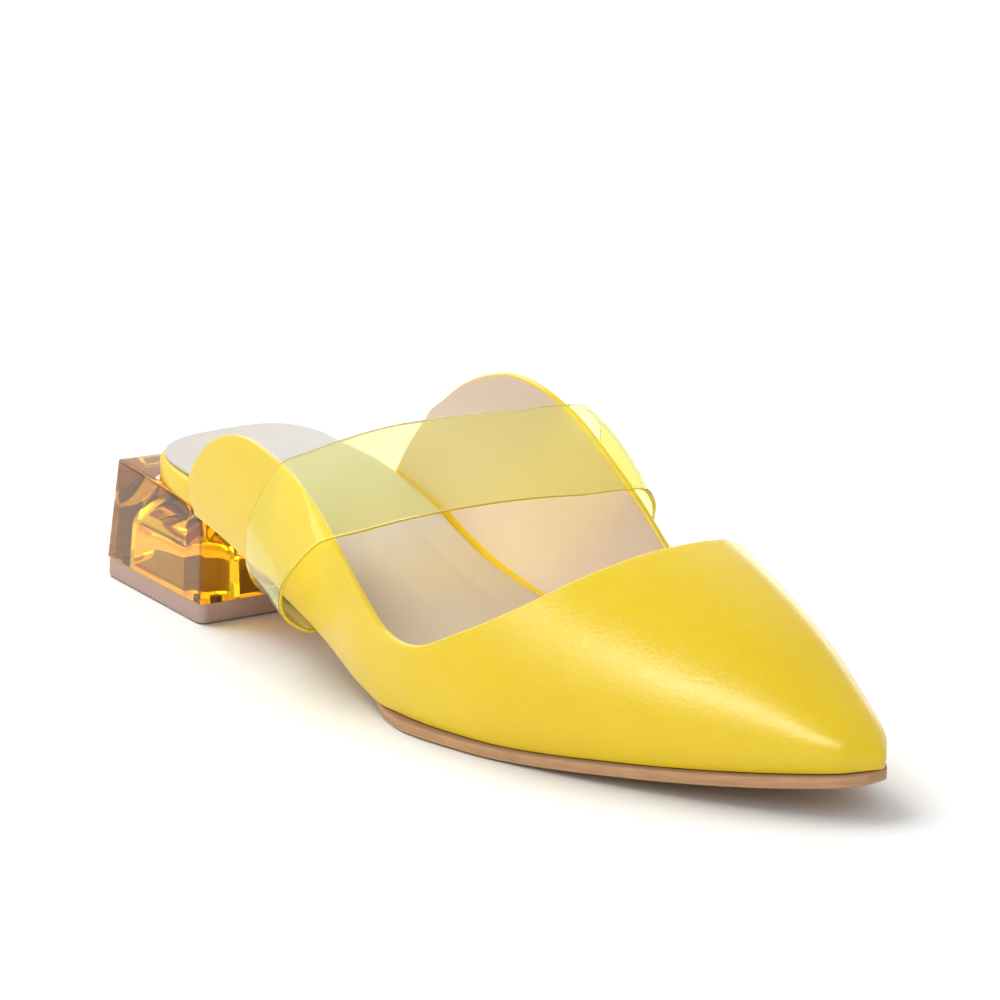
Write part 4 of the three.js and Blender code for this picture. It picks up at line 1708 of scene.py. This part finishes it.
        def flat(inset: float, z: float) -> Layer:
            """Level ring at a height above the floor."""
            return Layer(inset, lambda x, y: z + 0 * x, z / self.tip_thick)

        layers = [flat(inset, z) for inset, z in self.tip_rings]
        plan = PlanPiece(*self.outline(self.tip_corner), layers)
        return plan.draft(top_slot=1).piece("tip_lift", [rubber, bed], sharp=35.0)


@dataclass
class ClearStrap:
    """Clear vinyl band over the instep, tucked under the footbed on both sides, in millimetres."""

    thick: float = 1.0
    steps: int = 220
    across: int = 14
    edge_steps: int = 4
    edge_out: float = 0.25
    edge_share: float = 0.006

    def build(self, vinyl: bpy.types.Material, cut: bpy.types.Material) -> bpy.types.Object:
        """Makes the band with its rounded cut edges, the rear one clear as the faces are.

        Args:
            vinyl: finish of the two faces and the rear edge.
            cut: finish of the front edge and the two ends.

        Returns:
            The piece.
        """
        t = np.linspace(0, 1, self.steps + 1)
        rear, front = (
            Spline(np.stack([STRAP_ROWS.values(f"{edge}_{axis}") for axis in "xyz"], axis=1)).at(t)
            for edge in ("rear", "front")
        )
        count = np.arange(len(STRAP_ROWS.rows))
        bow = Spline(np.stack([count, STRAP_ROWS.values("bow_y"), STRAP_ROWS.values("bow_z")], axis=1))
        lift = bow.at(t) * (0, 1, 1)
        inner = np.linspace(self.edge_share, 1 - self.edge_share, self.across - 1)
        share = np.concatenate([[0], inner, [1]])[None, :, None]
        grid = rear[:, None] + (front - rear)[:, None] * share + lift[:, None] * 4 * share * (1 - share)
        along = np.gradient(grid, axis=0)
        across = np.gradient(grid, share[0, :, 0], axis=1)
        normal = np.cross(across, along)
        normal /= np.linalg.norm(normal, axis=-1, keepdims=True)
        out = across / np.linalg.norm(across, axis=-1, keepdims=True)
        half = self.thick / 2
        made = Draft()
        upper = made.add(grid + normal * half)
        lower = made.add(grid - normal * half)
        made.quads(upper, 0, flip=True)
        made.quads(lower, 0)
        for column, sign, flip, slot in ((0, -1, True, 0), (-1, 1, False, 1)):
            rows = [upper[:, column]]
            for angle in np.linspace(0, math.pi, self.edge_steps + 1)[1:-1]:
                rise = normal[:, column] * half * math.cos(angle)
                reach = sign * out[:, column] * self.edge_out * math.sin(angle)
                rows.append(made.add(grid[:, column] + rise + reach))
            rows.append(lower[:, column])
            made.quads(np.array(rows[:2]), 0, flip=flip)
            made.quads(np.array(rows[1:-1]), slot, flip=flip)
            made.quads(np.array(rows[-2:]), 0, flip=flip)
            for end, turned in ((0, not flip), (-1, flip)):
                loop = [int(row[end]) for row in rows]
                made.faces.append(loop[::-1] if turned else loop)
                made.slots.append(1)
        for row, flip in ((0, False), (-1, True)):
            made.quads(np.array([upper[row], lower[row]]), 1, flip=flip)
        return made.piece("vinyl_band", [vinyl, cut], sharp=60.0)


@dataclass
class Lamp:
    """One soft light of the studio: where it stands, what it faces, its size and its strength."""

    name: str
    place: tuple[float, float, float]
    aim: tuple[float, float, float]
    size: tuple[float, float]
    power: float
    reach: Reach = Reach.ALL
    sheen_only: bool = False


@dataclass
class Studio:
    """Pale floor, soft lights and the camera, in metres."""

    eye: tuple[float, float, float] = (0.53336, -0.42811, 0.21882)
    aim: tuple[float, float, float] = (-0.06466, 0.06468, 0.020)
    lens: float = 106.6
    sensor: float = 36.0
    clip: tuple[float, float] = (0.01, 50.0)
    floor_size: float = 8.0
    floor_z: float = -0.0002
    floor_tone: float = 0.88
    floor_roughness: float = 0.8
    floor_gloss: float = 0.1
    tent: float = 0.40
    tent_sides: tuple[tuple[tuple[float, float, float], float], ...] = (
        ((0.0, 1.0, 0.0), 0.55),
        ((-1.0, 0.0, 0.0), 0.40),
    )
    lamps: tuple[Lamp, ...] = (
        Lamp("heel_box", (-2.2, -0.1, 2.5), (0.0, 0.0, 0.03), (2.2, 2.2), 54.0),
        Lamp("back_box", (-1.6, 1.4, 2.5), (0.0, 0.0, 0.03), (2.0, 2.0), 12.0),
        Lamp("floor_box", (-2.2, -0.3, 2.5), (0.0, 0.0, 0.0), (2.2, 2.2), 60.0, Reach.FLOOR),
        Lamp("front_fill", (0.3, -2.2, 1.1), (0.0, 0.0, 0.03), (3.0, 1.6), 17.5, Reach.SHOE),
        Lamp("front_strip", (0.56, -0.92, 1.05), (0.04, 0.0, 0.03), (1.6, 0.16), 10.0, Reach.SHOE),
        Lamp("front_sheen", (0.62, -0.98, 0.95), (0.04, 0.0, 0.03), (1.8, 0.5), 12.0, sheen_only=True),
        Lamp("rim_sheen", (-1.1, 1.8, 0.5), (0.06, 0.0, 0.03), (2.0, 0.8), 12.0, sheen_only=True),
    )

    def build(self) -> None:
        """Makes the floor, the lights and the camera."""
        floor = self.build_floor()
        groups = {}
        for reach, state in ((Reach.SHOE, "EXCLUDE"), (Reach.FLOOR, "INCLUDE")):
            groups[reach] = bpy.data.collections.new(f"lit_{reach.value}")
            groups[reach].objects.link(floor)
            groups[reach].collection_objects[0].light_linking.link_state = state
        for lamp in self.lamps:
            light = self.build_lamp(lamp)
            light.light_linking.receiver_collection = groups.get(lamp.reach)
        self.build_camera()
        self.build_sky()
        bpy.context.scene.view_settings.view_transform = "Standard"

    def build_sky(self) -> None:
        """Makes the white tent round the set, brighter towards its two sides than overhead."""
        world = bpy.data.worlds.new("studio")
        bpy.context.scene.world = world
        world.use_nodes = True
        sketch = Sketch(world.node_tree)
        back = world.node_tree.nodes["Background"]
        back.inputs["Color"].default_value = (1.0, 1.0, 1.0, 1.0)
        way = sketch.add("ShaderNodeTexCoord").outputs["Generated"]
        total = self.tent
        for axis, strength in self.tent_sides:
            lean = sketch.vector("DOT_PRODUCT", {0: way, 1: axis}).outputs["Value"]
            glow = sketch.math("MULTIPLY", sketch.math("MAXIMUM", lean, 0.0), strength)
            total = sketch.math("ADD", glow, total)
        sketch.feed(total, back.inputs["Strength"])

    def build_floor(self) -> bpy.types.Object:
        """Makes the pale floor under the shoe.

        Returns:
            The floor.
        """
        half = self.floor_size / 2
        mesh = bpy.data.meshes.new("floor")
        corners = [(x * half, y * half, self.floor_z) for x, y in ((-1, -1), (1, -1), (1, 1), (-1, 1))]
        mesh.from_pydata(corners, [], [(0, 1, 2, 3)])
        material, _, shader, _ = Finish.start("pale_floor")
        shader.inputs["Base Color"].default_value = (self.floor_tone, self.floor_tone, self.floor_tone, 1.0)
        shader.inputs["Roughness"].default_value = self.floor_roughness
        shader.inputs["Specular IOR Level"].default_value = self.floor_gloss
        mesh.materials.append(material)
        floor = bpy.data.objects.new("floor", mesh)
        bpy.context.scene.collection.objects.link(floor)
        return floor

    @staticmethod
    def build_lamp(lamp: Lamp) -> bpy.types.Object:
        """Makes one soft light.

        Args:
            lamp: the light's place, size and strength.

        Returns:
            The light.
        """
        data = bpy.data.lights.new(lamp.name, "AREA")
        data.shape = "RECTANGLE"
        data.size, data.size_y = lamp.size
        data.energy = lamp.power
        light = bpy.data.objects.new(lamp.name, data)
        light.location = lamp.place
        way = Vector(lamp.aim) - Vector(lamp.place)
        light.rotation_euler = way.to_track_quat("-Z", "Y").to_euler()
        light.visible_diffuse = light.visible_transmission = not lamp.sheen_only
        bpy.context.scene.collection.objects.link(light)
        return light

    def build_camera(self) -> None:
        """Makes the camera at the photograph's place."""
        data = bpy.data.cameras.new("camera")
        data.sensor_width = self.sensor
        data.lens = self.lens
        data.clip_start, data.clip_end = self.clip
        camera = bpy.data.objects.new("camera", data)
        camera.location = self.eye
        way = Vector(self.aim) - Vector(self.eye)
        camera.rotation_euler = way.to_track_quat("-Z", "Y").to_euler()
        bpy.context.scene.collection.objects.link(camera)
        bpy.context.scene.camera = camera


def main() -> None:
    """Builds every piece in order, dresses it and sets up the studio."""
    logging.basicConfig(level=logging.INFO, format="%(message)s")
    effects = Effects()
    last = Last()
    Studio().build()
    lining = LINING_LEATHER.material(effects)
    settle(Upper(last).build(UPPER_LEATHER.material(effects), lining), "upper")
    footbed = Footbed(last)
    settle(footbed.build_insole(FOOTBED_LEATHER.material(effects)), "insole")
    settle(footbed.build_sock(SOCK_LEATHER.material(effects)), "sock")
    settle(Outsole(last).build(SOLE_BOARD.material(effects)), "outsole")
    heel = Heel(last)
    settle(heel.build_block(HEEL_RESIN.material(effects)), "heel_block")
    settle(heel.build_tip(TIP_RUBBER.material(effects), TIP_BED.material(effects)), "heel_tip")
    pins = heel.build_pins(PIN_METAL.material(effects))
    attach(pins, "root")
    LOG.info("%s: %d faces", pins.name, len(pins.data.polygons))
    strap = ClearStrap()
    settle(strap.build(STRAP_VINYL.material(effects), STRAP_EDGE.material(effects)), "strap")


if __name__ == "__main__":
    main()
